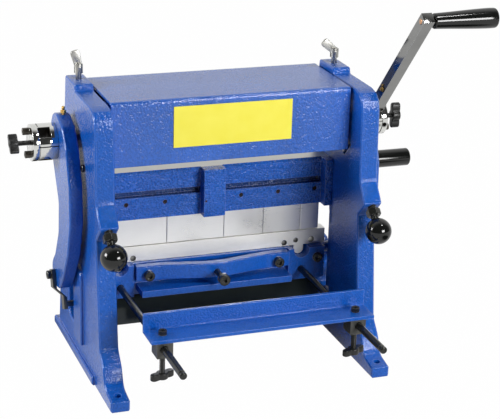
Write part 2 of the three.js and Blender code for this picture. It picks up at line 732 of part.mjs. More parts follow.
sides.forEach((side) => {
  const at = (distance) => side.sign * distance;
  const bore = rod([at(armInner - overrun), driveAxisY, driveAxisZ + bedTravel / 2], outward(side),
    armOuter - armInner + 2 * overrun, journalRadius + bedTravel / 2 + armSwingFit, facets);
  const eye = rod([at(armInner - overrun), trunnionY, trunnionZ], outward(side),
    armOuter - armInner + 2 * overrun, trunnionRadius + fit, coarseFacets);
  const nippleSeat = armFoot + armHeight;
  const nippleX = at((armInner + armOuter) / 2);
  const nippleHole = rod([nippleX, nippleY, nippleSeat + overrun], downward, nippleHeight,
    nippleTipRadius + fit, hexFacets);
  place(`arm_${side.name}`, cut(
    prism("x", armOutline, at(armInner), at(armOuter), armEdge), [bore, eye, nippleHole]), looks.bluePaint);

  const nippleStem = nippleHeight / 2 + fit;
  const nippleTip = nippleHeight * (1 + nippleNeckShare);
  place(`grease_nipple_${side.name}`, turned([nippleX, nippleY, nippleSeat - nippleHeight / 2], upward, [
    [0, 0], [0, nippleTipRadius], [nippleStem, nippleTipRadius], [nippleStem, nippleRadius],
    [nippleHeight, nippleRadius], [nippleHeight, nippleTipRadius * nippleNeckShare * 2],
    [nippleTip, nippleTipRadius], [nippleTip, 0]], screwFacets), looks.brass);

  // A joggled steel link from the arm's bolt down to a pin that enters the frame's slot. It is drawn
  // upright, as (x, distance along it), and then leaned about the trunnion.
  const linkOuter = armOuter + fit + linkThickness;
  const linkSide = [
    [linkOuter - linkThickness, linkEyeRadius], [linkOuter, linkEyeRadius], [linkOuter, -linkBend],
    [linkOuter - linkSetIn, -linkBend - linkSetIn], [linkOuter - linkSetIn, -linkRun - linkEyeRadius],
    [linkOuter - linkSetIn - linkThickness, -linkRun - linkEyeRadius],
    [linkOuter - linkSetIn - linkThickness, -linkBend - linkSetIn - linkThickness / 2],
    [linkOuter - linkThickness, -linkBend - linkThickness / 2],
  ].map(([x, along]) => new THREE.Vector2(at(x), along));
  const upright = prism("y", side.sign > 0 ? linkSide : linkSide.toReversed(), -linkHalfWidth, linkHalfWidth);
  const linkPin = rod([at(frameMiddle), 0, -linkRun], outward(side),
    linkOuter - linkSetIn - frameMiddle - linkThickness / 2, linkPinRadius, screwFacets);
  const linkHole = rod([at(armOuter - overrun), 0, 0], outward(side), linkThickness + 2 * overrun,
    armBoltThread + fit, screwFacets);
  const leaned = cut(union([upright, linkPin]), [linkHole]).rotate([linkLean / degree, 0, 0])
    .translate([0, trunnionY, trunnionZ]);
  place(`link_${side.name}`, leaned, looks.zinc);

  const headStart = armOuter + 2 * fit + linkThickness;
  const boltEnd = armOuter - armBoltSink;
  place(`arm_bolt_${side.name}`, cut(union([
    rod([at(boltEnd), trunnionY, trunnionZ], outward(side), headStart - boltEnd + fit, armBoltThread,
      screwFacets),
    rod([at(headStart), trunnionY, trunnionZ], outward(side), armBoltHead, armBoltRadius, coarseFacets),
  ]), [rod([at(headStart + armBoltHead / 2), trunnionY, trunnionZ], outward(side), armBoltHead,
    armBoltSocket, hexFacets)]), looks.blackOxide);
});

// The upper beam between the frames: a casting with a centre rib, end lugs, a recessed panel,
// a groove and a flange with five set screws that clamp the finger dies.
const beamBack = 46;
const beamTop = 238.5;
const beamFoot = 175;
const beamFlangeFront = 6;
const beamRibFront = -8;
const beamRibHalf = 14.5;
const beamLugInner = 152.5;
const beamLedgeFoot = 232;
const beamPanelFoot = 211.5;
const beamPanelDepth = 3;
const beamGrooveFoot = 204;
const beamGrooveDepth = 9;
const beamWebBack = 30;
const beamWebHeight = 196;
const dieFront = 9;
const dieBack = 19;
const dieHalf = 152.4;
const dieSeat = 202;
const dieFoot = 138;
const setScrewFirst = -113.7;
const setScrewPitch = 51.5;
const setScrewHeight = 195.6;
const setScrewRadius = 3;
const setScrewSlots = [0, 1, 3, 4, 5];
const beamLedgeRound = 3;

const beamHalf = frameInner + guideDepth - fit;
const beamOutline = [
  [beamFlangeFront, beamFoot], [dieFront - fit, beamFoot], [dieFront - fit, dieSeat],
  [dieBack + fit, dieSeat], [dieBack + fit, beamFoot], [beamWebBack, beamFoot], [beamWebBack, beamWebHeight],
  [beamBack, beamWebHeight], [beamBack, beamTop], [beamFlangeFront + beamLedgeRound, beamTop],
  [beamFlangeFront, beamTop - beamLedgeRound], [beamFlangeFront, beamLedgeFoot],
  [beamFlangeFront + beamPanelDepth, beamLedgeFoot], [beamFlangeFront + beamPanelDepth, beamPanelFoot],
  [beamFlangeFront + beamGrooveDepth, beamPanelFoot], [beamFlangeFront + beamGrooveDepth, beamGrooveFoot],
  [beamFlangeFront, beamGrooveFoot],
].map(([y, z]) => new THREE.Vector2(y, z));

// A full-height block that stands proud of the beam's front between two places along it.
function beamBlock(from, to) {
  return union([
    box(from, to, beamRibFront, beamFlangeFront + beamGrooveDepth + overrun,
      beamGrooveFoot - overrun, beamTop),
    box(from, to, beamRibFront, dieFront - fit, beamFoot, beamGrooveFoot),
  ]);
}
const beamRib = beamBlock(-beamRibHalf, beamRibHalf);
const beamLugs = sides.map((side) => beamBlock(side.sign * beamLugInner, side.sign * beamHalf));
const setScrewHoles = setScrewSlots.map((slot) => rod(
  [setScrewFirst + slot * setScrewPitch, beamFlangeFront - overrun, setScrewHeight], backward,
  dieFront - beamFlangeFront + overrun, setScrewRadius, screwFacets));
place("upper_beam", cut(
  union([prism("x", beamOutline, -beamHalf, beamHalf), beamRib, ...beamLugs]),
  setScrewHoles), looks.bluePaint);

// Five finger dies in the beam's slot, of different widths, each with a bevelled working edge.
const fingerWidthShares = [0.308, 0.255, 0.179, 0.172, 0.086];
const fingerGap = 0.5;
const dieEdgeBack = 13;
const dieBevelHeight = 9;
const fingerOutline = [
  [dieFront, dieFoot + fit], [dieEdgeBack, dieFoot + fit], [dieBack, dieFoot + dieBevelHeight],
  [dieBack, dieSeat - fit], [dieFront, dieSeat - fit],
].map(([y, z]) => new THREE.Vector2(y, z));
let fingerStart = -dieHalf;
fingerWidthShares.forEach((share, i) => {
  const fingerEnd = fingerStart + share * 2 * dieHalf;
  place(`finger_die_${i + 1}`,
    prism("x", fingerOutline, fingerStart + fingerGap / 2, fingerEnd - fingerGap / 2), looks.groundSteel);
  fingerStart = fingerEnd;
});

// The moving bed: a casting between the columns, with end ears, a centre wall behind the bow bar,
// a lip below it, and a trunnion at each end that passes through the frame's slot to the arm.
const bedHalf = 157;
const bedBack = 54;
const bedTop = 117;
const bedFoot = 73.6;
const earFront = -6;
const earInner = 106;
const bedWallFront = 2;
const bedHollowFront = 30;
const bedHollowTop = 92;
const bedHollowWall = 9;
const lipHalf = 102;
const lipFront = -30;
const lipTop = 90;
const lipFoot = 81.5;
const earCutRadius = 10.8;
const earCutX = 124.5;
const earCutZ = 115;
const earBoltX = 146.6;
const earBoltZ = 103;
const earBoltRadius = 6.3;
const earBoltHead = 4;
const earBoltSocket = 3;
const gaugeRodX = 124.2;
const gaugeRodZ = 88;
const gaugeRodRadius = 4.5;
const gaugeRodSink = 14;
const plateFront = 7.4;
const plateBack = 24;
const plateHalf = 161.5;
const lobeZ = 112;
const lobeRadius = 7;
const lobeBack = 15;
const plateHoles = [[120.3, 124.2, 3.4], [142.5, 123.4, 4.2], [104, 121.8, 3.8]];
const bowBoltX = 88.7;
const bowBoltZ = 105;
const bowBoltThread = 3;
const bowBoltSink = 8;

const boreForward = (x, z, y, depth, radius, around) => rod([x, y, z], backward, depth, radius, around);
const bedEars = sides.map((side) => box(side.sign * earInner, side.sign * bedHalf, earFront,
  bedWallFront + overrun, bedFoot, bedTop));
const bedTrunnions = sides.map((side) => rod([side.sign * (bedHalf - overrun), trunnionY, trunnionZ],
  outward(side), armOuter - fit - bedHalf + overrun, trunnionRadius, coarseFacets));
const earBolts = sides.map((side) => boreForward(side.sign * earBoltX, earBoltZ, earFront - earBoltHead,
  earBoltHead + fit, earBoltRadius, coarseFacets));
const bedTools = sides.flatMap((side) => [
  boreForward(side.sign * earCutX, earCutZ, earFront - overrun, lobeBack + fit - earFront + overrun,
    earCutRadius, facets),
  box(side.sign * (earCutX - earCutRadius), side.sign * (earCutX + earCutRadius), earFront - overrun,
    lobeBack + fit, earCutZ, bedTop + overrun),
  boreForward(side.sign * earBoltX, earBoltZ, earFront - earBoltHead - overrun, overrun + earBoltHead / 2,
    earBoltSocket, hexFacets),
  boreForward(side.sign * gaugeRodX, gaugeRodZ, earFront - overrun, gaugeRodSink + overrun,
    gaugeRodRadius + fit, coarseFacets),
  boreForward(side.sign * bowBoltX, bowBoltZ, bedWallFront - overrun, bowBoltSink + overrun,
    bowBoltThread + fit, screwFacets),
  rod([side.sign * (armOuter + overrun), trunnionY, trunnionZ], [-side.sign, 0, 0],
    armBoltSink + overrun + fit, armBoltThread + fit, screwFacets),
]);
place("bed", cut(union([
  box(-bedHalf, bedHalf, bedWallFront, bedBack, bedFoot, bedTop),
  box(-lipHalf, lipHalf, lipFront, bedWallFront + overrun, lipFoot, lipTop),
  ...bedEars, ...bedTrunnions, ...earBolts,
]), [
  ...bedTools,
  box(-bedHalf + bedHollowWall, bedHalf - bedHollowWall, bedHollowFront, bedBack - bedHollowWall,
    bedFoot - overrun, bedHollowTop),
]), looks.bluePaint);

// The lower die plate on the bed, with a rounded lobe hanging into each ear's cut-out and three
// round holes near each end.
place("lower_die_plate", cut(union([
  box(-plateHalf, plateHalf, plateFront, plateBack, bedTop + fit, dieFoot - fit),
  ...sides.flatMap((side) => [
    boreForward(side.sign * earCutX, lobeZ, plateFront, lobeBack - plateFront, lobeRadius, facets),
    box(side.sign * (earCutX - lobeRadius), side.sign * (earCutX + lobeRadius), plateFront, lobeBack,
      lobeZ, bedTop + overrun),
  ]),
]), sides.flatMap((side) => plateHoles.map(([x, z, radius]) => boreForward(side.sign * x, z,
  plateFront - overrun, plateBack - plateFront + 2 * overrun, radius, coarseFacets)))), looks.groundSteel);

// The bow bar that crowns the bed: bolted at its ends, pushed at its middle by a long screw.
const bowHalf = 104.6;
const bowEndFront = -12;
const bowMiddleFront = -24;
const bowThickness = 12;
const bowFoot = 96.5;
const bowTop = 116.5;
const bowEndLength = 32;
const bowMiddleHalf = 14;
const bowEdge = 1.2;
const bowBoltHead = 7;
const bowBoltRadius = 6.6;
const bowBoltSocket = 3.2;
const bowScrewRadius = 4;
const bowScrewStart = -56;
const bowScrewHead = 8;
const bowScrewHeadRadius = 7.4;
const bowScrewZ = 104.5;

const bowFlat = bowHalf - bowEndLength;
const bowOutline = rounded([
  [-bowHalf, bowEndFront, 0], [-bowFlat, bowEndFront, bendCorner],
  [-bowMiddleHalf, bowMiddleFront, bendCorner], [bowMiddleHalf, bowMiddleFront, bendCorner],
  [bowFlat, bowEndFront, bendCorner], [bowHalf, bowEndFront, 0],
  [bowHalf, bowEndFront + bowThickness, 0], [bowFlat, bowEndFront + bowThickness, bendCorner],
  [bowMiddleHalf, bowMiddleFront + bowThickness, bendCorner],
  [-bowMiddleHalf, bowMiddleFront + bowThickness, bendCorner],
  [-bowFlat, bowEndFront + bowThickness, bendCorner], [-bowHalf, bowEndFront + bowThickness, 0],
]);
place("bow_bar", cut(prism("z", bowOutline, bowFoot, bowTop, bowEdge), [
  boreForward(0, bowScrewZ, bowScrewStart, -bowScrewStart, bowScrewRadius + fit, screwFacets),
  ...sides.map((side) => boreForward(side.sign * bowBoltX, bowBoltZ, bowEndFront - overrun,
    bowThickness + 2 * overrun, bowBoltThread + fit, screwFacets)),
]), looks.bluePaint);

sides.forEach((side) => {
  const x = side.sign * bowBoltX;
  const headBack = bowEndFront - fit;
  place(`bow_bolt_${side.name}`, cut(union([
    boreForward(x, bowBoltZ, headBack - bowBoltHead, bowBoltHead, bowBoltRadius, coarseFacets),
    boreForward(x, bowBoltZ, headBack - fit, bedWallFront + bowBoltSink - fit - headBack, bowBoltThread,
      screwFacets),
  ]), [boreForward(x, bowBoltZ, headBack - bowBoltHead - overrun, overrun + bowBoltHead / 2, bowBoltSocket,
    hexFacets)]), looks.blackOxide);
});
place("bow_screw", cut(union([
  boreForward(0, bowScrewZ, bowScrewStart, bowScrewHead, bowScrewHeadRadius, coarseFacets),
  boreForward(0, bowScrewZ, bowScrewStart + fit, bedWallFront - fit - bowScrewStart - fit, bowScrewRadius,
    screwFacets),
]), [boreForward(0, bowScrewZ, bowScrewStart - overrun, overrun + bowScrewHead / 2, bowBoltSocket,
  hexFacets)]), looks.blackOxide);

// The black chute sheet below the bed, sloping down towards the operator, hung by a flange.
const chuteHalf = 150;
const chuteThickness = 1.6;
const chuteBack = 26;
const chuteTop = bedFoot - fit;
const chuteFront = -20;
const chuteFoot = 44;
const chuteFlange = 14;
const chuteUnder = chuteTop - chuteThickness;
const chuteOutline = [
  [chuteBack - chuteFlange, chuteUnder], [chuteBack - chuteThickness, chuteUnder],
  [chuteFront - chuteThickness, chuteFoot], [chuteFront, chuteFoot],
  [chuteBack, chuteUnder], [chuteBack, chuteTop], [chuteBack - chuteFlange, chuteTop],
].map(([y, z]) => new THREE.Vector2(y, z));
place("chute", prism("x", chuteOutline, -chuteHalf, chuteHalf), looks.blackSheet);

// The stop gauge: two rods in the bed's ears, an angle across them, and a clamp block with a cap
// screw on top and a two-lobed thumb screw below for each rod.
const gaugeRodTip = -275;
const gaugeRodNeck = 3.4;
const gaugeHalf = 142;
const gaugeBack = -167;
const gaugeWall = 5;
const gaugeFront = -205;
const gaugeTop = 123;
const gaugeFoot = 98;
const gaugeFloor = 4.5;
const gaugeEdge = 0.8;
const gaugeScrewX = 123.4;
const gaugeScrewY = -188.5;
const clampHalfWidth = 10;
const clampHalfDepth = 11;
const clampTop = gaugeFoot - fit;
const clampFoot = 76;
const clampEdge = 1;
const capHead = 6;
const capRadius = 5.2;
const capThread = 2.6;
const capSink = 5;
const thumbScrewRadius = 3.4;
const thumbScrewFoot = 54;
const thumbKnobFoot = 46;
const thumbKnobRadius = 16.5;
const thumbKnobTurn = 20 * degree;

sides.forEach((side) => {
  const x = side.sign * gaugeRodX;
  const rodStart = earFront + gaugeRodSink - fit;
  const length = rodStart - gaugeRodTip;
  place(`gauge_rod_${side.name}`, turned([x, rodStart, gaugeRodZ], forward, [
    [0, 0], [0, gaugeRodRadius], [length - gaugeRodRadius * 2, gaugeRodRadius],
    [length - gaugeRodRadius * 2, gaugeRodNeck], [length - gaugeRodRadius, gaugeRodNeck],
    [length - gaugeRodRadius, gaugeRodRadius], [length, gaugeRodRadius], [length, 0]], coarseFacets),
  looks.blackOxide);
});

const gaugeOutline = rounded([
  [gaugeBack, gaugeFoot, smallCorner], [gaugeBack, gaugeTop, 0], [gaugeBack - gaugeWall, gaugeTop, 0],
  [gaugeBack - gaugeWall, gaugeFoot + gaugeFloor, smallCorner], [gaugeFront, gaugeFoot + gaugeFloor, 0],
  [gaugeFront, gaugeFoot, 0],
]);
place("gauge_angle", cut(prism("x", gaugeOutline, -gaugeHalf, gaugeHalf, gaugeEdge), sides.map((side) => rod(
  [side.sign * gaugeScrewX, gaugeScrewY, gaugeFoot - overrun], upward, gaugeFloor + 2 * overrun,
  capThread + fit, screwFacets))), looks.bluePaint);

sides.forEach((side) => {
  const x = side.sign * gaugeScrewX;
  const rodHole = rod([side.sign * gaugeRodX, gaugeScrewY - clampHalfDepth - overrun, gaugeRodZ], backward,
    2 * clampHalfDepth + 2 * overrun, gaugeRodRadius + runningFit, coarseFacets);
  place(`clamp_block_${side.name}`, cut(
    prism("z", [
      new THREE.Vector2(x - clampHalfWidth, gaugeScrewY - clampHalfDepth),
      new THREE.Vector2(x + clampHalfWidth, gaugeScrewY - clampHalfDepth),
      new THREE.Vector2(x + clampHalfWidth, gaugeScrewY + clampHalfDepth),
      new THREE.Vector2(x - clampHalfWidth, gaugeScrewY + clampHalfDepth),
    ], clampFoot, clampTop, clampEdge),
    [
      rodHole,
      rod([x, gaugeScrewY, clampTop + overrun], downward, capSink + overrun, capThread + fit, screwFacets),
      rod([x, gaugeScrewY, clampFoot - overrun], upward, gaugeRodZ - clampFoot + overrun,
        thumbScrewRadius + fit, screwFacets),
    ]), looks.blackOxide);

  const capSeat = gaugeFoot + gaugeFloor + fit;
  place(`cap_screw_${side.name}`, cut(union([
    rod([x, gaugeScrewY, capSeat], upward, capHead, capRadius, coarseFacets),
    rod([x, gaugeScrewY, capSeat + fit], downward, capSeat + 2 * fit - clampTop + capSink - fit * 3, capThread,
      screwFacets),
  ]), [rod([x, gaugeScrewY, capSeat + capHead / 2], upward, capHead, capThread, hexFacets)]),
  looks.blackOxide);

  place(`thumb_screw_${side.name}`, union([
    rod([x, gaugeScrewY, thumbScrewFoot - overrun], upward,
      gaugeRodZ - gaugeRodRadius - runningFit - thumbScrewFoot + overrun, thumbScrewRadius, screwFacets),
    lobedKnob([x, gaugeScrewY, thumbKnobFoot], upward, thumbScrewFoot - thumbKnobFoot, thumbKnobRadius,
      thumbKnobTurn),
  ]), looks.blackPlastic);
});

// The whole is centred on the origin, with its feet on z = 0.
const bounds = new THREE.Box3().setFromObject(machine);
const centre = bounds.getCenter(new THREE.Vector3());
machine.children.forEach((part) => part.geometry.translate(-centre.x, -centre.y, -bounds.min.z));

export default machine;
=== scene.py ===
# A bench-top slip roll with a finger brake below it, dressed piece by piece over its packed
# solids. The file follows the machine as it is put together: frames, beam and dies, rolls and
# their cover, arms, hubs and crank, bed, gauge. Shapes are in millimetres from HOME.

import json

import bmesh
import bpy
import numpy as np
from mathutils import Matrix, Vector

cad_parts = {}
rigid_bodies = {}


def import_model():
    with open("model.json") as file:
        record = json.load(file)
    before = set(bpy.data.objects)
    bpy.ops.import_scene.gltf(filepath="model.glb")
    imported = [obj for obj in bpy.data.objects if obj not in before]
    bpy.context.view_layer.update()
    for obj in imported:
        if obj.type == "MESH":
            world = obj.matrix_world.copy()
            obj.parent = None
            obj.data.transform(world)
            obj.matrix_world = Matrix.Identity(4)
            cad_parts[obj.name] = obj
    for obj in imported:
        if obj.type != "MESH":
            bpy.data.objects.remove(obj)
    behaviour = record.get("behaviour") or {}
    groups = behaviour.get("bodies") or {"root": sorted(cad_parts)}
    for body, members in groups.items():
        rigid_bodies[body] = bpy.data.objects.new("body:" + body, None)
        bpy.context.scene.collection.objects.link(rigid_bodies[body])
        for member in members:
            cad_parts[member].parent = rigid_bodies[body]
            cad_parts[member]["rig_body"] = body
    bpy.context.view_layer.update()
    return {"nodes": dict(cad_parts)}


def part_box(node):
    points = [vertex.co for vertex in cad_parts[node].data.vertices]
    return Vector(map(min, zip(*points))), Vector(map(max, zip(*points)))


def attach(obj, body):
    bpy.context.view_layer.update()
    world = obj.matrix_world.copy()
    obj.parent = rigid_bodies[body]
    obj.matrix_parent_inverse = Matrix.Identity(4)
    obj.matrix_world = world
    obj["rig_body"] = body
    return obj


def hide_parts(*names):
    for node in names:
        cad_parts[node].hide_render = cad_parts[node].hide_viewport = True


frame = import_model()
bpy.context.scene.view_settings.view_transform = "Standard"


# The view: a long lens on the operator's left, a little above the machine, turned by a degree
# or two as the photographer held it.
YAW, PITCH, ROLL = np.radians([20.404492565, 19.89502569, 1.8116323])
forward = np.array([np.sin(YAW) * np.cos(PITCH), np.cos(YAW) * np.cos(PITCH), -np.sin(PITCH)])
level = np.array([np.cos(YAW), -np.sin(YAW), 0.0])
upright = np.cross(level, forward)
right = level * np.cos(ROLL) + upright * np.sin(ROLL)
top = upright * np.cos(ROLL) - level * np.sin(ROLL)
LENS = 114.083
CAMERA_PLACE = (-0.652285, -1.732435, 0.878508)
camera_data = bpy.data.cameras.new("camera")
camera_data.sensor_width = 36.0
camera_data.sensor_fit = "HORIZONTAL"
camera_data.lens = LENS
camera = bpy.data.objects.new("camera", camera_data)
bpy.context.scene.collection.objects.link(camera)
turn = np.eye(4)
turn[:3, 0], turn[:3, 1], turn[:3, 2] = right, top, -forward
turn[:3, 3] = CAMERA_PLACE
camera.matrix_world = Matrix(turn.tolist())
bpy.context.scene.camera = camera


# Every finish is written as sums and products of sockets. This wraps one socket, so that
# 1 - mask or noise * 0.2 adds the Math nodes by itself.
class Wire:
    """One socket of a node tree; a wire + or * a wire or number, and a number - a wire, add Math
    nodes."""

    def __init__(self, tree, socket=None):
        self.tree, self.socket = tree, socket

    def node(self, kind, settings, sockets, out=0):
        """Adds a node: its settings first, then the value or wire of each socket named. Gives the
        wire of one output."""
        made = self.tree.nodes.new(kind)
        for name, value in settings.items():
            setattr(made, name, value)
        for key, value in sockets.items():
            if isinstance(value, Wire):
                self.tree.links.new(value.socket, made.inputs[key])
            else:
                made.inputs[key].default_value = value
        return Wire(self.tree, made.outputs[out] if len(made.outputs) else None)

    def maths(self, operation, first, second):
        """Adds a Math node of two terms."""
        return self.node("ShaderNodeMath", {"operation": operation}, {0: first, 1: second})

    def __add__(self, other):
        return self.maths("ADD", self, other)

    def __mul__(self, other):
        return self.maths("MULTIPLY", self, other)

    def __rsub__(self, other):
        return self.maths("SUBTRACT", other, self)

    __radd__, __rmul__ = __add__, __mul__


def blank(owner):
    """Empties the node tree of a material or world and gives a wire to build on it."""
    owner.use_nodes = True
    owner.node_tree.nodes.clear()
    return Wire(owner.node_tree)


# The floor and the light: a pale floor that the camera and mirrors see as white, but for two
# places of painted shade that only mirrors see, a white sky, and three lamps: one low beyond the
# operator's right shoulder, a broad one on the machine's left and a small one high in front.
WHITE = (1.0, 1.0, 1.0, 1.0)
FLOOR_GREY = (0.56, 0.56, 0.56, 1.0)
SEEN_WHITE = 0.992
# Painted shade that only mirrors see on the floor: the middle and the reach, on x and y, of a
# painted shadow of the machine behind it and of a painted dark patch before its right end, which
# darkens the reflections in the right ends of the dies and the plate.
PAINTED_FLOOR_SHADES = (((-0.01, 0.40), (0.28, 0.48)), ((0.36, -0.29), (0.16, 0.22)))
SHADE_CORE, SHADE_RIM = 0.7, 1.25


def floor_finish(name):
    """The floor's grey, seen by camera and mirrors as white. As painted shade, a mirror sees it dim
    by the product of smoothstep(|((x - m) / a, (y - n) / b)|) over the PAINTED_FLOOR_SHADES with
    middle (m, n) and reach (a, b)."""
    made = bpy.data.materials.new(name)
    wire = blank(made)
    place = wire.node("ShaderNodeTexCoord", {}, {}, "Object")
    mirrored = (wire.node("ShaderNodeLightPath", {}, {}, "Is Glossy Ray")
                + wire.node("ShaderNodeLightPath", {}, {}, "Is Transmission Ray"))
    lit = 1.0
    for middle, reach in PAINTED_FLOOR_SHADES:
        aside = wire.node(
            "ShaderNodeVectorMath", {"operation": "SUBTRACT"}, {0: place, 1: (*middle, 0.0)})
        shares = wire.node(
            "ShaderNodeVectorMath", {"operation": "DIVIDE"}, {0: aside, 1: (*reach, 1.0)})
        away = wire.node("ShaderNodeVectorMath", {"operation": "LENGTH"}, {0: shares}, out=1)
        lit = lit * wire.node(
            "ShaderNodeMapRange", {"interpolation_type": "SMOOTHSTEP"},
            {0: away, 1: SHADE_CORE, 2: SHADE_RIM})
    seen = (wire.node("ShaderNodeLightPath", {}, {}, "Is Camera Ray") + mirrored) * SEEN_WHITE
    body = wire.node("ShaderNodeBsdfDiffuse", {}, {"Color": FLOOR_GREY})
    glow = wire.node(
        "ShaderNodeEmission", {}, {"Color": WHITE, "Strength": 1.0 - mirrored * (1.0 - lit)})
    mixed = wire.node("ShaderNodeMixShader", {}, {0: seen, 1: body, 2: glow})
    wire.node("ShaderNodeOutputMaterial", {}, {"Surface": mixed})
    return made


FLOOR_REACH = 6.0
floor_data = bpy.data.meshes.new("floor")
floor_data.from_pydata(
    [(x * FLOOR_REACH, y * FLOOR_REACH, 0) for x, y in ((-1, -1), (1, -1), (1, 1), (-1, 1))],
    [], [[0, 1, 2, 3]])
floor_data.materials.append(floor_finish("pale_floor"))
floor = bpy.data.objects.new("floor", floor_data)
bpy.context.scene.collection.objects.link(floor)

SOFT_LIGHT = 0.05
world = bpy.data.worlds.new("white_studio")
sky = blank(world)
toward = sky.node("ShaderNodeTexCoord", {}, {}, "Generated")
behind = sky.node(
    "ShaderNodeMapRange", {"interpolation_type": "SMOOTHSTEP"},
    {0: sky.node("ShaderNodeSeparateXYZ", {}, {0: toward}, "Y"), 1: -0.3, 2: 0.35, 3: 0.0, 4: 1.0})
mirrored = (sky.node("ShaderNodeLightPath", {}, {}, "Is Glossy Ray")
            + sky.node("ShaderNodeLightPath", {}, {}, "Is Transmission Ray"))
shown = mirrored * behind + sky.node("ShaderNodeLightPath", {}, {}, "Is Camera Ray")
glow = sky.node(
    "ShaderNodeBackground", {},
    {"Color": WHITE, "Strength": SOFT_LIGHT + shown * (1.0 - SOFT_LIGHT)})
sky.node("ShaderNodeOutputWorld", {}, {"Surface": glow})
bpy.context.scene.world = world

LAMP_AIM = (0.0, 0.0, 0.25)


def lamp(name, place, width, height, power):
    """An area lamp at a place, turned towards LAMP_AIM."""
    data = bpy.data.lights.new(name, "AREA")
    data.shape, data.size, data.size_y, data.energy = "RECTANGLE", width, height, power
    made = bpy.data.objects.new(name, data)
    bpy.context.scene.collection.objects.link(made)
    away = np.subtract(place, LAMP_AIM)
    away = away / np.linalg.norm(away)
    side = np.cross((0.0, 0.0, 1.0), away)
    side = side / np.linalg.norm(side)
    pose = np.eye(4)
    pose[:3, 0], pose[:3, 1], pose[:3, 2], pose[:3, 3] = side, np.cross(away, side), away, place
    made.matrix_world = Matrix(pose.tolist())


lamp("front_lamp", (0.85, -2.05, 0.80), 0.90, 0.62, 40.0)
lamp("left_lamp", (-2.20, 0.25, 1.10), 0.90, 0.70, 43.0)
lamp("top_lamp", (0.90, -0.85, 2.45), 0.40, 0.25, 17.0)


# Side frames: two iron castings with a column in front, a nose for the adjusting screw and a
# throat open to the back. Sand cast, edges dressed round, foot hole drilled, sprayed with blue
# hammered enamel.
MM = 0.001
TOE_REACH = 173.0
left_frame_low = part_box("left_side_frame")[0]
right_frame_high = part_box("right_side_frame")[1]
HOME = np.array([
    (left_frame_low.x + right_frame_high.x) / 2, left_frame_low.y + TOE_REACH * MM, 0.0])
BLUE = (0.006, 0.090, 0.430)
CLOUD_SCALE, CELL_SCALE, GRAIN_SCALE = 16.0, 420.0, 800.0


def near_edges(wire, samples, radius, blunt, sharp):
    """The normal as if edges were rounded by a radius, and how sharp an edge is near: from 0 to 1
    as the cosine between that normal and the surface's own falls from blunt to sharp."""
    softer = wire.node("ShaderNodeBevel", {"samples": samples}, {"Radius": radius})
    facing = wire.node("ShaderNodeNewGeometry", {}, {}, "Normal")
    cosine = wire.node(
        "ShaderNodeVectorMath", {"operation": "DOT_PRODUCT"}, {0: softer, 1: facing}, out=1)
    return softer, wire.node(
        "ShaderNodeMapRange", {}, {"Value": cosine, 1: blunt, 2: sharp, 3: 0.0, 4: 1.0})


def enamel(name, relief_height, rough, level, spread, groove=None):
    """Blue hammered enamel: an orange-peel skin of small cells, each lighter or darker by up to
    its spread, a little uneven in wide clouds, under a clear coat. Where an edge is sharp the
    coat is glossier and the paint paler, partly thinner paint and partly a painted highlight. A
    groove ((foot, top), front) in millimetres gets painted shade: the paint is darker inside it,
    behind its front."""
    made = bpy.data.materials.new(name)
    wire = blank(made)
    place = wire.node("ShaderNodeTexCoord", {}, {}, "Object")
    cells = wire.node(
        "ShaderNodeTexVoronoi", {"feature": "SMOOTH_F1"},
        {"Vector": place, "Scale": CELL_SCALE, "Smoothness": 0.8})
    grain = wire.node(
        "ShaderNodeTexNoise", {}, {"Vector": place, "Scale": GRAIN_SCALE, "Detail": 2.0})
    cloud = wire.node(
        "ShaderNodeTexNoise", {}, {"Vector": place, "Scale": CLOUD_SCALE, "Detail": 3.0})
    softer, edge = near_edges(wire, 6, 1.2 * MM, 0.992, 0.90)
    mixed = cells * 0.5 + grain * 0.25 + cloud * 0.5
    tone = wire.node(
        "ShaderNodeMapRange", {},
        {"Value": mixed, 1: 0.25, 2: 0.75, 3: 1.0 - spread, 4: 1.0 + spread})
    # Painted shade: the paint is darkened inside the groove, where shade falls.
    if groove:
        (foot, head), front = groove
        y, z = (wire.node("ShaderNodeSeparateXYZ", {}, {0: place}, axis) for axis in "YZ")
        deep = wire.maths("GREATER_THAN", y, front * MM + float(HOME[1]))
        over = wire.maths("GREATER_THAN", z, foot * MM)
        under = wire.maths("LESS_THAN", z, head * MM)
        tone = tone * (1.0 - deep * over * under * 0.7)
    body = wire.node(
        "ShaderNodeVectorMath", {"operation": "SCALE"}, {0: BLUE, "Scale": tone})
    # Painted highlight: the paler colour where an edge is sharp stands partly for thinner paint and
    # partly for the highlights along the edges.
    edge_pale_and_highlight = [min(1.0, c * 1.5 + 0.20) for c in BLUE]
    skin = wire.node(
        "ShaderNodeMix", {"data_type": "RGBA"}, {0: edge * 0.6, 6: body, 7: (*edge_pale_and_highlight, 1.0)}, out=2)
    gloss = wire.node(
        "ShaderNodeMapRange", {}, {"Value": grain, 1: 0.3, 2: 0.7, 3: rough, 4: rough + 0.1})
    relief = wire.node(
        "ShaderNodeBump", {}, {
            "Strength": 1.0, "Distance": relief_height, "Height": cells + grain * 0.4,
            "Normal": softer})
    shader = wire.node("ShaderNodeBsdfPrincipled", {}, {
        "Base Color": skin, "Roughness": gloss, "IOR": 1.5, "Specular IOR Level": level,
        "Coat Weight": edge * 0.8 + 0.10, "Coat Roughness": 0.16, "Normal": relief})
    wire.node("ShaderNodeOutputMaterial", {}, {"Surface": shader})
    return made


blue_enamel = enamel("blue_enamel", relief_height=0.0005, rough=0.08, level=0.30, spread=0.22)


def settled(made):
    """The object's mesh with its modifiers worked in."""
    bpy.context.view_layer.update()
    kept = bpy.data.meshes.new_from_object(
        made.evaluated_get(bpy.context.evaluated_depsgraph_get()))
    made.modifiers.clear()
    made.data = kept
    return kept


EVEN_AREA = 0.0015


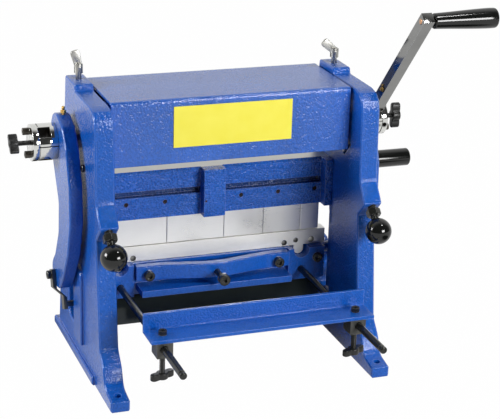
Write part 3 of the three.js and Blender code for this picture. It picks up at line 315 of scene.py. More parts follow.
def level_normals(data):
    """Keeps large faces flat to the light: a point's normal is the sum of weight times normal over
    the faces that meet there. A face's weight is its area. Under EVEN_AREA, in square metres, the
    weights are far less and more alike."""
    count = len(data.polygons)
    areas, normals = np.empty(count), np.empty(count * 3)
    sizes, corners = np.empty(count, np.int32), np.empty(len(data.loops), np.int32)
    data.polygons.foreach_get("area", areas)
    areas = np.where(areas > EVEN_AREA, areas, 0.02 * EVEN_AREA + 0.1 * areas)
    data.polygons.foreach_get("normal", normals)
    data.polygons.foreach_get("loop_total", sizes)
    data.loops.foreach_get("vertex_index", corners)
    total = np.zeros((len(data.vertices), 3))
    np.add.at(total, corners, np.repeat(normals.reshape(-1, 3) * areas[:, None], sizes, 0))
    length = np.maximum(np.linalg.norm(total, axis=1), 1e-12)
    data.normals_split_custom_set_from_vertices((total / length[:, None]).tolist())


def cut_away(made, low, high):
    """Takes the box between two corners in millimetres out of an object."""
    corners = [
        (x, y, z) for z in (low[2], high[2]) for y in (low[1], high[1]) for x in (low[0], high[0])]
    block = bpy.data.meshes.new("cutter")
    block.from_pydata(
        (np.array(corners) * MM + HOME).tolist(), [],
        [[0, 2, 3, 1], [4, 5, 7, 6], [0, 1, 5, 4], [2, 6, 7, 3], [0, 4, 6, 2], [1, 3, 7, 5]])
    tool = bpy.data.objects.new("cutter", block)
    bpy.context.scene.collection.objects.link(tool)
    taken = made.modifiers.new("taken", "BOOLEAN")
    taken.operation, taken.solver, taken.object = "DIFFERENCE", "EXACT", tool
    settled(made)
    bpy.data.objects.remove(tool)


def recast(node, name, round_mm, finish, steps=3, crease=30.0, second=None, cutters=(),
           split_y=None):
    """A node's own shape made whole again: doubles merged, flats joined, every edge sharper than
    crease rounded. second = (finish, test) gives another finish to the faces that pass a test of
    their centres in millimetres and their normals, and split_y parts the faces that cross that
    plane first. Each cutter is a box (low, high), taken out of the shape first."""
    source = frame["nodes"][node]
    made = bpy.data.objects.new(name, source.data.copy())
    bpy.context.scene.collection.objects.link(made)
    for low, high in cutters:
        cut_away(made, low, high)
    data = made.data
    work = bmesh.new()
    work.from_mesh(data)
    bmesh.ops.remove_doubles(work, verts=work.verts, dist=2e-6)
    bmesh.ops.dissolve_limit(
        work, angle_limit=np.radians(0.8), verts=work.verts, edges=work.edges)
    if split_y is not None:
        bmesh.ops.bisect_plane(
            work, geom=[*work.verts, *work.edges, *work.faces], plane_no=(0, 1, 0),
            plane_co=(HOME[0], HOME[1] + split_y * MM, 0))
    bmesh.ops.recalc_face_normals(work, faces=work.faces)
    work.to_mesh(data)
    work.free()
    data.materials.clear()
    data.materials.append(finish)
    count = len(data.polygons)
    chosen = np.zeros(count, np.int32)
    if second:
        centres, normals = np.empty(count * 3), np.empty(count * 3)
        data.polygons.foreach_get("center", centres)
        data.polygons.foreach_get("normal", normals)
        centres = (centres.reshape(-1, 3) - HOME) / MM
        chosen = second[1](centres, normals.reshape(-1, 3)).astype(np.int32)
        data.materials.append(second[0])
    data.polygons.foreach_set("material_index", chosen)
    data.polygons.foreach_set("use_smooth", np.ones(count, bool))
    rounding = made.modifiers.new("edges", "BEVEL")
    rounding.width, rounding.segments, rounding.limit_method = round_mm * MM, steps, "ANGLE"
    rounding.angle_limit = np.radians(crease)
    data = settled(made)
    data.name = name
    level_normals(data)
    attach(made, source["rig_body"])
    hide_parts(node)


SIDES = (("left", -1), ("right", 1))
for side, _ in SIDES:
    recast(f"{side}_side_frame", f"{side}_column", 1.3, blue_enamel)


# Socket screws: black oxide over steel, cold headed, the rim knurled and the top chamfered
# round a hexagon socket. One locks each adjusting screw from the frame's outer face.
AROUND = 72
TURN = np.arange(AROUND) * 2 * np.pi / AROUND
FIT = 0.3


def worn(name, colour, rubbed_and_highlight, rough, grain, edge_share=0.6, metallic=1.0, bump=0.08, level=0.5,
         clouds=(0.88, 1.10)):
    """A finish of one colour, lighter and darker in clouds, and lighter where an edge is sharp:
    partly rubbed wear, partly a painted highlight. Its roughness wanders between two values along a
    grain of so many marks a metre on X, Y and Z."""
    made = bpy.data.materials.new(name)
    wire = blank(made)
    place = wire.node("ShaderNodeTexCoord", {}, {}, "Object")
    along = wire.node("ShaderNodeMapping", {}, {"Vector": place, "Scale": grain})
    marks = wire.node(
        "ShaderNodeTexNoise", {}, {"Vector": along, "Scale": 1.0, "Detail": 3.0, "Roughness": 0.6})
    cloud = wire.node("ShaderNodeTexNoise", {}, {"Vector": place, "Scale": 38.0, "Detail": 4.0})
    _, edge = near_edges(wire, 4, 0.7 * MM, 0.97, 0.80)
    mixed = marks * 0.5 + cloud * 0.5
    tone = wire.node(
        "ShaderNodeMapRange", {}, {"Value": mixed, 1: 0.3, 2: 0.7, 3: clouds[0], 4: clouds[1]})
    body = wire.node(
        "ShaderNodeVectorMath", {"operation": "SCALE"}, {0: colour, "Scale": tone})
    skin = wire.node(
        "ShaderNodeMix", {"data_type": "RGBA"},
        {0: edge * edge_share, 6: body, 7: (*rubbed_and_highlight, 1.0)}, out=2)
    sheen = wire.node(
        "ShaderNodeMapRange", {}, {"Value": mixed, 1: 0.3, 2: 0.7, 3: rough[0], 4: rough[1]})
    relief = wire.node(
        "ShaderNodeBump", {}, {"Strength": bump, "Distance": 0.0002, "Height": marks})
    shader = wire.node("ShaderNodeBsdfPrincipled", {}, {
        "Base Color": skin, "Roughness": sheen, "Metallic": metallic, "Specular IOR Level": level,
        "Normal": relief})
    wire.node("ShaderNodeOutputMaterial", {}, {"Surface": shader})
    return made


EVEN_GRAIN = (700.0, 700.0, 700.0)
# The black oxide's pale edges are partly rubbed wear and partly a painted highlight on the screw
# rims.
black_oxide = worn(
    "black_oxide", (0.030, 0.031, 0.028), (0.42, 0.42, 0.39), (0.16, 0.28), EVEN_GRAIN,
    metallic=0.6, level=0.6, edge_share=0.8)


def eased(corners, steps=5):
    """A profile with rounded corners. Each corner is (along, radius, round): the line leaves it
    by round on both sides and joins the two by (1-t)^2 P + 2t(1-t) C + t^2 Q."""
    corners = np.array([(*corner, 0.0)[:3] for corner in corners], float)
    line = []
    for i, (along, radius, reach) in enumerate(corners):
        here = np.array([along, radius])
        if reach <= 0 or i in (0, len(corners) - 1):
            line.append(here[None])
            continue
        before, after = corners[i - 1, :2] - here, corners[i + 1, :2] - here
        share_before = min(0.5, reach / np.linalg.norm(before))
        share_after = min(0.5, reach / np.linalg.norm(after))
        t = np.linspace(0, 1, steps + 1)[:, None]
        line.append(
            (1 - t) ** 2 * (here + before * share_before) + 2 * t * (1 - t) * here
            + t ** 2 * (here + after * share_after))
    return np.vstack(line)


def revolved(start, direction, along, radius):
    """Rings about an axis. Point j of ring i is start + along_ij d + r_ij (cos a_j u + sin a_j v),
    and the first and last rings are drawn together to a point in their middle."""
    d = np.asarray(direction, float) / np.linalg.norm(direction)
    u = np.array([0.0, 1.0, 0.0]) if abs(d[0]) > 0.5 else np.array([1.0, 0.0, 0.0])
    v = np.cross(d, u)
    rings, around = radius.shape
    angle = np.arange(around) * 2 * np.pi / around
    spoke = np.cos(angle)[:, None] * u + np.sin(angle)[:, None] * v
    along = np.broadcast_to(along if along.ndim == 2 else along[:, None], radius.shape)
    points = np.asarray(start, float) + along[..., None] * d + radius[..., None] * spoke
    ring, step = np.meshgrid(np.arange(rings - 1), np.arange(around), indexing="ij")
    after = (step + 1) % around
    quads = np.stack(
        [ring * around + step, ring * around + after,
         (ring + 1) * around + after, (ring + 1) * around + step], -1).reshape(-1, 4)
    poles = np.array([points[0].mean(0), points[-1].mean(0)])
    base, turns = rings * around, np.arange(around)
    foot = np.stack([np.full(around, base), (turns + 1) % around, turns], -1)
    head = np.stack(
        [np.full(around, base + 1), base - around + turns, base - around + (turns + 1) % around],
        -1)
    faces = [*quads.tolist(), *foot.tolist(), *head.tolist()]
    return np.vstack([points.reshape(-1, 3), poles]), faces


def ringed(start, direction, rings):
    """A shape about an axis from its rings of (along, radius at each angle)."""
    along, radii = zip(*rings)
    return revolved(start, direction, np.array(along), np.array(radii))


def turned(start, direction, corners, around=AROUND):
    """A plain turned shape from a profile of (along, radius, round)."""
    line = eased(corners)
    return revolved(start, direction, line[:, 0], np.repeat(line[:, 1:], around, 1))


def joined(*shapes):
    """Several shapes as one list of points and faces."""
    points, faces, base = [], [], 0
    for shape_points, shape_faces in shapes:
        points.append(shape_points)
        faces += [[base + i for i in face] for face in shape_faces]
        base += len(shape_points)
    return np.vstack(points), faces


def hexagon(half):
    """How far a hexagon's side is from its middle at each angle, for half its width over flats."""
    return half / np.cos((TURN + np.pi / 6) % (np.pi / 3) - np.pi / 6)


def piece(name, shape, host, finish, stands_in=True, crease=32.0):
    """A finished piece from a shape in millimetres. It rides on its host node's body and, unless
    told otherwise, stands in the host's place."""
    data = bpy.data.meshes.new(name)
    data.from_pydata((shape[0] * MM + HOME).tolist(), [], shape[1])
    work = bmesh.new()
    work.from_mesh(data)
    bmesh.ops.recalc_face_normals(work, faces=work.faces)
    work.to_mesh(data)
    work.free()
    data.materials.append(finish)
    data.polygons.foreach_set("use_smooth", np.ones(len(data.polygons), bool))
    data.set_sharp_from_angle(angle=np.radians(crease))
    made = bpy.data.objects.new(name, data)
    bpy.context.scene.collection.objects.link(made)
    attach(made, frame["nodes"][host]["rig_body"])
    if stands_in:
        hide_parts(host)


def socket_screw(seat, direction, head, length, socket, shank, depth):
    """A cap screw: a shank of the given depth behind its seat, a rim whose ridges stand a
    fiftieth proud, a chamfered top and a hexagon socket half the head deep."""
    knurl = 0.98 + 0.02 * np.cos(24 * TURN)
    plain = np.ones(AROUND)
    rings = [
        (-depth, (shank - 0.5) * plain), (0.5 - depth, shank * plain), (0.0, shank * plain),
        (0.0, (head - 0.35) * plain), (0.3, head * plain), (0.35, head * knurl),
        (min(length * 0.82, length - 0.62), head * knurl),
        (min(length * 0.85, length - 0.55), head * plain),
        (length - 0.5, head * plain), (length - 0.12, (head - 0.35) * plain),
        (length, (head - 0.7) * plain), (length, socket * 1.25 * plain),
        (length - socket * 0.14, hexagon(socket)), (length * 0.45, hexagon(socket)),
        (length * 0.42, hexagon(socket * 0.2))]
    return ringed(seat, direction, rings)


SLIDE_Y, SLIDE_Z = -44.0, 285.0


def on_slide(along, x, aside=0.0):
    """A place on the bending roll's 45 degree slide, by its distance up the slide from the roll's
    axis and square to it."""
    reach = np.sqrt(0.5)
    return np.array([x, SLIDE_Y + (along - aside) * reach, SLIDE_Z + (along + aside) * reach])


FRAME_OUTER = 182.0
FRAME_MIDDLE = 170.0
for side, sign in SIDES:
    seat = on_slide(-16.3, sign * (FRAME_OUTER + FIT), -5.0)
    piece(
        f"lock_screw_{side}",
        socket_screw(seat, (sign, 0, 0), head=4.6, length=4.0, socket=2.3, shank=2.6, depth=5.2),
        f"side_screw_{side}", black_oxide)


# The upper beam: an iron casting in the same enamel, its top face machined bare. Five set screws
# in its flange clamp the finger dies behind, and a small pin sits in its middle rib.
ground_steel = worn(
    "ground_steel", (0.60, 0.59, 0.56), (0.80, 0.79, 0.76), (0.34, 0.46), (60.0, 2200.0, 2200.0))
milled_top = worn(
    "milled_top", (0.44, 0.44, 0.42), (0.70, 0.69, 0.66), (0.30, 0.40), (60.0, 2200.0, 2200.0))
# The beam's enamel paints shade into the groove between its panels and its flange.
beam_enamel = enamel(
    "beam_enamel", relief_height=0.0020, rough=0.08, level=0.5, spread=0.50,
    groove=((203.0, 211.0), 9.0))
BEAM_TOP = 238.5
BEAM_FACE = 7.0


def on_beam_top(place, normal):
    """Which faces are the machined top of the beam, behind its painted front."""
    return (normal[:, 2] > 0.9) & (place[:, 2] > BEAM_TOP - 1) & (place[:, 1] > BEAM_FACE)


recast(
    "upper_beam", "beam_casting", 1.0, beam_enamel, split_y=BEAM_FACE,
    second=(milled_top, on_beam_top))
dark_oxide = worn(
    "dark_oxide", (0.004, 0.004, 0.005), (0.02, 0.02, 0.024), (0.40, 0.52), EVEN_GRAIN,
    metallic=0.0, level=0.2)
SET_SCREW_START, SET_SCREW_PITCH = -113.7, 51.5
for k in (0, 1, 3, 4, 5):
    seat = (SET_SCREW_START + SET_SCREW_PITCH * k, 8.6, 195.6)
    piece(
        f"set_screw_{k}",
        socket_screw(seat, (0, -1, 0), head=3.2, length=1.7, socket=1.6, shank=1.0, depth=0.1),
        "upper_beam", dark_oxide, stands_in=False)
pin_profile = [(-1.0, 1.2), (0.0, 1.5), (0.2, 1.5), (0.3, 1.2), (0.05, 0.8)]
piece(
    "rib_pin", turned((-11.7, -8.0, 196.6), (0, -1, 0), pin_profile, around=24),
    "upper_beam", dark_oxide, stands_in=False)


# Five finger dies: hardened and ground steel of different widths, wiped with oil, side by side
# under the beam with a fine split between each pair.
die_steel = worn(
    "die_steel", (0.88, 0.88, 0.875), (0.92, 0.92, 0.91), (0.26, 0.34), (140.0, 3000.0, 3000.0),
    bump=0.015, clouds=(0.96, 1.03))
for k in range(1, 6):
    recast(f"finger_die_{k}", f"finger_{k}", 0.5, die_steel, steps=2)


# The three rolls: ground steel bars with turned journals. The drive roll carries the hubs, the
# upper roll turns against it and the bending roll lies on the slide before them.
roll_steel = worn(
    "roll_steel", (0.46, 0.45, 0.43), (0.70, 0.69, 0.66), (0.14, 0.26), (900.0, 60.0, 60.0))
ROLL_HALF = 155.0
ROLL_RADIUS = 19.0
HUB_INNER = 204.4
DRIVE_Y, DRIVE_Z = 9.5, 287.4
for name, node, y, z, journal, half in (
    ("drive_barrel", "drive_roll", DRIVE_Y, DRIVE_Z, 11.0, HUB_INNER + 5.6),
    ("upper_barrel", "upper_roll", 19.594, 325.071, 8.0, 175.5),
    ("bending_barrel", "bending_roll", SLIDE_Y, SLIDE_Z, 8.0, 171.0),
):
    profile = [
        (0, journal - 1), (1, journal), (half - ROLL_HALF, journal),
        (half - ROLL_HALF, ROLL_RADIUS - 1.2), (half - ROLL_HALF + 1.2, ROLL_RADIUS, 0.8),
        (half + ROLL_HALF - 1.2, ROLL_RADIUS, 0.8), (half + ROLL_HALF, ROLL_RADIUS - 1.2),
        (half + ROLL_HALF, journal), (2 * half - 1, journal), (2 * half, journal - 1)]
    piece(
        name, turned((-half, y, z), (1, 0, 0), profile, around=96), node,
        roll_steel)


# The roll cover: a sheet steel channel over the rolls, folded at the front and back, in the
# same blue. It rests on the frames' cast ledges.
cover_enamel = enamel("cover_enamel", relief_height=0.0005, rough=0.09, level=0.7, spread=0.28)
recast("roll_cover", "cover_shell", 1.6, cover_enamel)


# The label: a bare yellow plastic film with nothing printed on it, faded a little in patches. It
# is glued on the middle of the cover's front.
label_film = bpy.data.materials.new("label_film")
film = blank(label_film)
spot = film.node("ShaderNodeTexCoord", {}, {}, "Object")
fade = film.node("ShaderNodeTexNoise", {}, {"Vector": spot, "Scale": 60.0, "Detail": 4.0})
tint = film.node(
    "ShaderNodeMix", {"data_type": "RGBA"},
    {0: fade, 6: (0.88, 0.78, 0.035, 1.0), 7: (0.96, 0.88, 0.085, 1.0)}, out=2)
smooth = film.node("ShaderNodeMapRange", {}, {"Value": fade, 1: 0.3, 2: 0.7, 3: 0.30, 4: 0.44})
ripple = film.node("ShaderNodeBump", {}, {"Strength": 0.05, "Distance": 0.0003, "Height": fade})
face = film.node("ShaderNodeBsdfPrincipled", {}, {
    "Base Color": tint, "Roughness": smooth, "Normal": ripple, "Coat Weight": 0.3})
film.node("ShaderNodeOutputMaterial", {}, {"Surface": face})
recast("label_plate", "yellow_plate", 0.3, label_film, steps=2)


# The bending roll's bearing blocks: milled steel with a bore for the journal, free to slide on
# the frames' slanting ways.
for side, _ in SIDES:
    recast(f"bending_block_{side}", f"slide_block_{side}", 0.6, ground_steel)


# The adjusting screws that push the blocks: rolled thread under black oxide, from the block
# down through the frame's nose and a hexagon jam nut to a moulded ball knob.
def threaded(start, direction, length, radius, pitch=1.5, depth=0.55, per_turn=8, around=36):
    """A screw thread as rings: r = R - h (1/2 + 1/2 cos(2 pi s / p - a)), where s is the distance
    along the axis and a the angle, cut down to a chamfer at both ends."""
    along = np.arange(0.0, length, pitch / per_turn)
    angle = np.arange(around) * 2 * np.pi / around
    phase = 2 * np.pi * along[:, None] / pitch - angle[None, :]
    ridge = radius - depth * (0.5 + 0.5 * np.cos(phase))
    chamfer = radius - 1.6 * depth + np.minimum(along, along[-1] - along)
    return revolved(start, direction, along, np.minimum(ridge, chamfer[:, None]))


gloss_black = worn(
    "gloss_black", (0.0060, 0.0066, 0.0062), (0.020, 0.020, 0.020), (0.07, 0.13), (260.0,) * 3,
    metallic=0.0, bump=0.005, level=0.45, edge_share=0.3)
UP_SLIDE = np.array([0.0, np.sqrt(0.5), np.sqrt(0.5)])
NUT_FOOT = -118.5
NUT_HALF, NUT_BORE = 8.0, 5.4
BALL_RADIUS = 16.5
BALL_DISTANCE = 139.0
flats = hexagon(NUT_HALF)
corner = NUT_HALF / np.cos(np.pi / 6)
nut_rings = [
    (0.0, np.full(AROUND, NUT_BORE)), (0.0, np.full(AROUND, NUT_HALF - 0.2)),
    (0.35, np.minimum(flats, NUT_HALF + 0.35)), (0.9, np.minimum(flats, corner)),
    (8.1, np.minimum(flats, corner)), (8.65, np.minimum(flats, NUT_HALF + 0.35)),
    (9.0, np.full(AROUND, NUT_HALF - 0.2)), (9.0, np.full(AROUND, NUT_BORE))]
for side, sign in SIDES:
    x = sign * FRAME_MIDDLE
    screw_foot = on_slide(BALL_RADIUS - BALL_DISTANCE - 4.0, x)
    piece(
        f"push_screw_{side}", threaded(screw_foot, UP_SLIDE, 112.1, 5.0, pitch=2.0, depth=0.8),
        f"adjust_screw_{side}", black_oxide, crease=60.0)
    piece(
        f"lock_nut_{side}", ringed(on_slide(NUT_FOOT, x), UP_SLIDE, nut_rings),
        f"jam_nut_{side}", black_oxide, crease=25.0)
    sweep = np.linspace(0.02, np.pi - np.arcsin(8.5 / BALL_RADIUS), 48)
    seam = 1.0 + 0.006 * np.exp(-((sweep - np.pi / 2) / 0.02) ** 2)
    along = np.append(-BALL_RADIUS * np.cos(sweep) * seam, BALL_RADIUS * 0.855)
    radius = np.append(BALL_RADIUS * 0.994 * np.sin(sweep) * seam, 7.4)
    piece(
        f"ball_{side}", revolved(
            on_slide(-BALL_DISTANCE, x), UP_SLIDE, along, np.repeat(radius[:, None], AROUND, 1)),
        f"ball_knob_{side}", gloss_black)


# The wing screws on top of the frames: a zinc plated clevis that turns, and a pressed wing
# that folds on its cross pin.
zinc_plate = worn(
    "zinc_plate", (0.40, 0.395, 0.37), (0.66, 0.66, 0.62), (0.32, 0.44), (220.0,) * 3, bump=0.03)
for side, _ in SIDES:
    recast(f"wing_screw_{side}", f"clevis_screw_{side}", 0.5, zinc_plate)
    recast(f"wing_{side}", f"wing_blade_{side}", 0.8, zinc_plate)


# The crescent arms outside the frames: iron castings in blue, with a brass grease nipple on
# top of each, a dull steel link below and a black bolt through both into the bed's trunnion.
brass = worn("brass", (0.62, 0.40, 0.13), (0.85, 0.66, 0.34), (0.18, 0.32), EVEN_GRAIN)
link_steel = worn("link_steel", (0.16, 0.155, 0.14), (0.34, 0.33, 0.30), (0.30, 0.44), EVEN_GRAIN)
ARM_OUTER = 204.0
ARM_CROWN = 325.0
nipple = [
    (0, 1.4), (0.5, 1.9), (5.2, 1.9), (5.3, 3.2), (5.7, 3.6, 0.2), (8.6, 3.6, 0.3), (9.2, 3.0),
    (9.6, 1.9, 0.4), (10.8, 1.7, 0.5), (11.6, 2.2, 0.4), (12.8, 2.3, 0.5), (13.9, 1.6, 0.6),
    (14.4, 0.5)]
for side, sign in SIDES:
    recast(f"arm_{side}", f"arm_casting_{side}", 1.6, blue_enamel)
    seat = (sign * 195.5, -1.0, ARM_CROWN - 5.0)
    piece(
        f"nipple_{side}", turned(seat, (0, 0, 1), nipple, around=48),
        f"grease_nipple_{side}", brass)
    recast(f"link_{side}", f"link_plate_{side}", 0.6, link_steel)
    seat = (sign * (ARM_OUTER + 2 * FIT + 5.0), 18.0, 107.0)
    piece(
        f"pivot_bolt_{side}",
        socket_screw(seat, (sign, 0, 0), head=5.5, length=5.0, socket=2.6, shank=3.4, depth=11.6),
        f"arm_bolt_{side}", black_oxide)


# The hubs: chromed clamp rings on the drive shaft, sawn through at mid height, with a square
# hole across for the crank and two black bolts in the outer face.
chrome = worn(
    "chrome", (0.64, 0.64, 0.62), (0.84, 0.84, 0.83), (0.05, 0.12), (120.0,) * 3, bump=0.02,
    clouds=(0.92, 1.06))
oily_black = worn(
    "oily_black", (0.060, 0.052, 0.042), (0.16, 0.13, 0.10), (0.24, 0.42), (520.0,) * 3,
    metallic=0.5, bump=0.2, clouds=(0.30, 1.90))
HUB_OUTER = 235.0
CRANK_PLANE = 220.0
SAW_LOW, SAW_HIGH = DRIVE_Z - 0.5, DRIVE_Z + 0.5


def oily_on_hub(place, _):
    """Which faces are the bolt heads on the outer face or line the crank's square hole."""
    off_axis = np.hypot(place[:, 1] - DRIVE_Y, place[:, 2] - DRIVE_Z)
    in_hole = (off_axis < 20.5) & (np.abs(np.abs(place[:, 0]) - CRANK_PLANE) < 7.8)
    return (np.abs(place[:, 0]) > HUB_OUTER + 0.05) | in_hole


for side, sign in SIDES:
    low, high = sorted((sign * (HUB_INNER - 1), sign * (HUB_OUTER - 7.0)))
    recast(
        f"hub_{side}", f"clamp_hub_{side}", 0.3, chrome, steps=2,
        second=(oily_black, oily_on_hub),
        cutters=[
            ((low, -16.0, SAW_LOW), (high, -4.0, SAW_HIGH)),
            ((low, 23.0, SAW_LOW), (high, 35.0, SAW_HIGH))])


# The clamp screws that hold the crank in its hub: a black thread and a two-lobed moulded knob on
# its outer end. The left hub has one too, for a crank on that side.
def lobed_knob(start, direction, length, radius, turn, ease=1.4, around=144):
    """A two-lobed knob. Its outline is the farthest of a core and the circles of each lobe,
    r(a) = max(k, c cos(a - a_i) + sqrt(l^2 - c^2 sin^2(a - a_i))), averaged over a few degrees and
    drawn in at both faces by e (1 - sin t) while the face rises by e (1 - cos t)."""
    angle = np.arange(around) * 2 * np.pi / around
    core = 0.44 * radius
    outline = np.full(around, core)
    for centre in (turn, turn + np.pi):
        for reach, share in ((0.74, 0.26), (0.48, 0.24)):
            away, lobe = reach * radius, share * radius
            inside = lobe ** 2 - (away * np.sin(angle - centre)) ** 2
            shown = (inside > 0) & (np.cos(angle - centre) > 0)
            edge = away * np.cos(angle - centre) + np.sqrt(np.maximum(inside, 0.0))
            outline = np.where(shown, np.maximum(outline, edge), outline)
    outline = np.mean([np.roll(outline, k) for k in range(-2, 3)], axis=0)
    t = np.linspace(0, np.pi / 2, 5)
    drawn = ease * (1 - np.sin(t))
    rise = ease * (1 - np.cos(t))
    rings = [(r, outline - d) for r, d in zip(rise, drawn)]
    rings += [(length - r, outline - d) for r, d in zip(rise[::-1], drawn[::-1])]
    rings = [(0.0, outline * 0.4)] + rings + [
        (length, np.full(around, core * 0.62)), (length - 0.8, np.full(around, core * 0.55))]
    return ringed(start, direction, rings)


satin_black = worn(
    "satin_black", (0.012, 0.012, 0.011), (0.05, 0.05, 0.048), (0.26, 0.40), (420.0,) * 3,
    metallic=0.0, bump=0.2, level=0.4)
CLAMP_OUTER = 261.0
KNOB_LENGTH = 11.0
knob_inner = CLAMP_OUTER - KNOB_LENGTH
screw_start = CRANK_PLANE + 7.6
for (side, sign), radius, lean in zip(SIDES, (13.0, 17.2), (-50.0, 90.0)):
    outward = (sign, 0, 0)
    shank = threaded(
        (sign * screw_start, DRIVE_Y, DRIVE_Z), outward, knob_inner + 1 - screw_start, 3.2,
        depth=0.4)
    knob = lobed_knob(
        (sign * knob_inner, DRIVE_Y, DRIVE_Z), outward, KNOB_LENGTH, radius, np.radians(lean))
    piece(
        f"clamp_knob_{side}", joined(shank, knob), f"clamp_screw_{side}",
        satin_black, crease=40.0)


# The crank: a bright chromed square bar clamped in the right hub, its two grip pins riveted
# over on the back in copper-coloured steel.
LEAN = np.radians(41.7)
HAND_PIN, TAIL_PIN = 215.5, -117.0
bar_chrome = worn(
    "bar_chrome", (0.22, 0.22, 0.215), (0.80, 0.80, 0.79), (0.05, 0.13), (120.0,) * 3, bump=0.02,
    clouds=(0.90, 1.08))
recast("crank_bar", "crank_square", 0.7, bar_chrome)
copper = worn("copper_rivet", (0.55, 0.30, 0.16), (0.80, 0.60, 0.42), (0.20, 0.34), EVEN_GRAIN)
BAR_HALF = 7.0


def on_bar(x, distance):
    """A place beside the crank bar, by its distance along the bar from the drive axis."""
    return x, DRIVE_Y - distance * np.sin(LEAN), DRIVE_Z + distance * np.cos(LEAN)


rivet = [(0, 1.2), (0.0, 2.6, 0.3), (0.35, 3.6, 0.3), (0.7, 3.8), (0.9, 3.8)]
for name, distance in (("upper", HAND_PIN), ("lower", TAIL_PIN)):
    piece(
        f"grip_rivet_{name}",
        turned(on_bar(CRANK_PLANE - BAR_HALF - 0.5, distance), (1, 0, 0), rivet, around=48),
        "crank_bar", copper, stands_in=False)


# The grips: turned and lacquered black handles that spin on the bar's pins, the upper one
# swelling to a domed end, the lower one a plain cylinder.
HAND_COLLAR = 2.5
hand_profile = [
    (0.3, 7.6), (0.3, 8.8, 0.3), (1.4, 9.6, 0.8), (20, 10.3, 10), (50, 11.9, 14), (74, 12.7, 8),
    (83.2, 12.4, 2.2), (84.5, 10.4, 1.4), (84.5, 4.0)]
tail_profile = [
    (0.3, 10.6), (0.3, 11.4, 0.3), (1.2, 12.2, 0.5), (87.6, 12.2, 0.8), (89.0, 10.9, 0.6),
    (89.0, 6.5)]
for name, node, collar, distance, profile in (
    ("crank_handle", "crank_grip", HAND_COLLAR, HAND_PIN, hand_profile),
    ("tail_handle", "tail_grip", 0.0, TAIL_PIN, tail_profile),
):
    start = on_bar(CRANK_PLANE + BAR_HALF + collar, distance)
    piece(name, turned(start, (1, 0, 0), profile, around=96), node, gloss_black)


# The bed: the iron casting that the arms lift, with an ear at each end round a bored cut-out,
# a black bolt in each ear, a lip in front and a trunnion at each end through the frame's slot.
EAR_FRONT = -6.0
LIP_HALF = 110.0


def on_ear_bolt(place, _):
    """Which faces are the bolt heads: those before the ears, outside the lip."""
    return (place[:, 1] < EAR_FRONT - 0.05) & (np.abs(place[:, 0]) >= LIP_HALF)


recast(
    "bed", "bed_casting", 1.0, blue_enamel, second=(black_oxide, on_ear_bolt))
for side, sign in SIDES:
    seat = (sign * 146.6, EAR_FRONT, 103.0)
    piece(
        f"ear_bolt_{side}",
        socket_screw(seat, (0, -1, 0), head=6.45, length=4.2, socket=2.9, shank=3.0, depth=0.1),
        "bed", black_oxide, stands_in=False)


# The lower die plate: one ground steel plate along the bed, with a round lobe hanging into
# each ear's cut-out.
# Painted shade: the walls of the plate's round holes are painted dark grey for the shade inside
# them.
painted_bore_shade = worn(
    "painted_bore_shade", (0.16, 0.16, 0.16), (0.30, 0.30, 0.29), (0.30, 0.42), EVEN_GRAIN)
# Each hole's x, z and radius. They are alike on both sides.
PLATE_HOLES = ((120.3, 124.2, 3.4), (142.5, 123.4, 4.2), (104.0, 121.8, 3.8))


def in_plate_hole(place, normal):
    """Which faces line one of the plate's round holes: those whose centre is within its radius."""
    inside = [
        np.hypot(np.abs(place[:, 0]) - x, place[:, 2] - z) < radius + 0.1
        for x, z, radius in PLATE_HOLES]
    return np.any(inside, axis=0) & (np.abs(normal[:, 1]) < 0.5)


plate_steel = worn(
    "plate_steel", (0.86, 0.85, 0.81), (0.92, 0.91, 0.88), (0.46, 0.58), (140.0, 3000.0, 3000.0),
    bump=0.03, clouds=(0.90, 1.06))
recast(
    "lower_die_plate", "die_plate", 0.5, plate_steel, steps=2,
    second=(painted_bore_shade, in_plate_hole))


# The bow bar: blue flat bar bolted to the bed at its ends, so that the long screw in its middle
# can crown the bed.
recast("bow_bar", "bow_casting", 1.0, blue_enamel)
for side, sign in SIDES:
    seat = (sign * 88.7, -12.3, 105.0)
    piece(
        f"bow_end_bolt_{side}",
        socket_screw(seat, (0, -1, 0), head=6.6, length=7.0, socket=3.2, shank=3.0, depth=21.7),
        f"bow_bolt_{side}", black_oxide)
seat = (0, -48.0, 104.5)
piece(
    "bow_push_bolt",
    socket_screw(seat, (0, -1, 0), head=7.4, length=8.0, socket=3.2, shank=4.0, depth=49.4),
    "bow_screw", black_oxide)


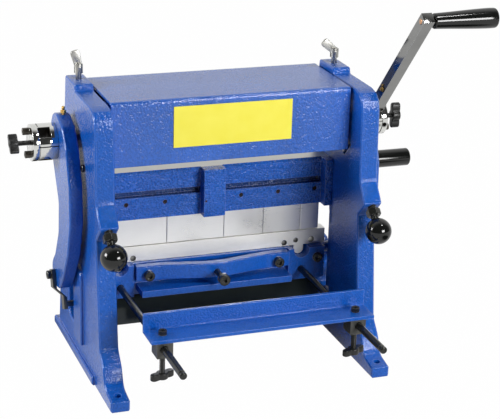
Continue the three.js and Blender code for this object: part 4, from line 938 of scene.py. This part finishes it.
# The chute: a folded sheet painted black, fixed below the bed and sloping towards the operator,
# so that cut strips slide out.
black_sheet = worn(
    "black_sheet", (0.030, 0.039, 0.034), (0.09, 0.09, 0.09), (0.34, 0.50), (90.0,) * 3,
    metallic=0.0, level=0.6)
recast("chute", "chute_sheet", 0.25, black_sheet, steps=2)


# The stop gauge's rods: round steel bars under black oxide, screwed into the bed's ears, each
# with a groove turned near its tip.
ROD_LENGTH = 282.7
rod_profile = [
    (0, 3.9), (0.6, 4.5), (ROD_LENGTH - 8.3, 4.5), (ROD_LENGTH - 8.0, 3.4),
    (ROD_LENGTH - 4.0, 3.4), (ROD_LENGTH - 3.7, 4.5), (ROD_LENGTH - 1.6, 4.5, 0.4),
    (ROD_LENGTH - 0.1, 3.2, 0.5), (ROD_LENGTH, 1.8)]
for side, sign in SIDES:
    piece(
        f"gauge_bar_{side}", turned((sign * 124.2, 7.7, 88.0), (0, -1, 0), rod_profile, around=48),
        f"gauge_rod_{side}", black_oxide)


# The gauge itself: a blue angle bar on two black blocks, each with a cap screw on top and a
# two-lobed thumb screw below that pinches the rod.
recast("gauge_angle", "gauge_bar_angle", 1.9, blue_enamel)
block_black = worn(
    "block_black", (0.075, 0.075, 0.070), (0.30, 0.30, 0.28), (0.30, 0.44), EVEN_GRAIN,
    metallic=0.4)
BLOCK_X, BLOCK_Y = 123.4, -188.5
for side, sign in SIDES:
    x = sign * BLOCK_X
    recast(f"clamp_block_{side}", f"rod_block_{side}", 0.6, block_black)
    seat = (x, BLOCK_Y, 102.8)
    piece(
        f"cap_bolt_{side}",
        socket_screw(seat, (0, 0, 1), head=5.2, length=6.0, socket=2.6, shank=2.6, depth=9.2),
        f"cap_screw_{side}", black_oxide)
    shank = threaded((x, BLOCK_Y, 52.5), (0, 0, 1), 30.4, 3.4, depth=0.4)
    knob = lobed_knob((x, BLOCK_Y, 54.0), (0, 0, -1), 8.0, 16.5, np.radians(-20.0))
    piece(
        f"thumb_bolt_{side}", joined(shank, knob), f"thumb_screw_{side}",
        satin_black, crease=40.0)
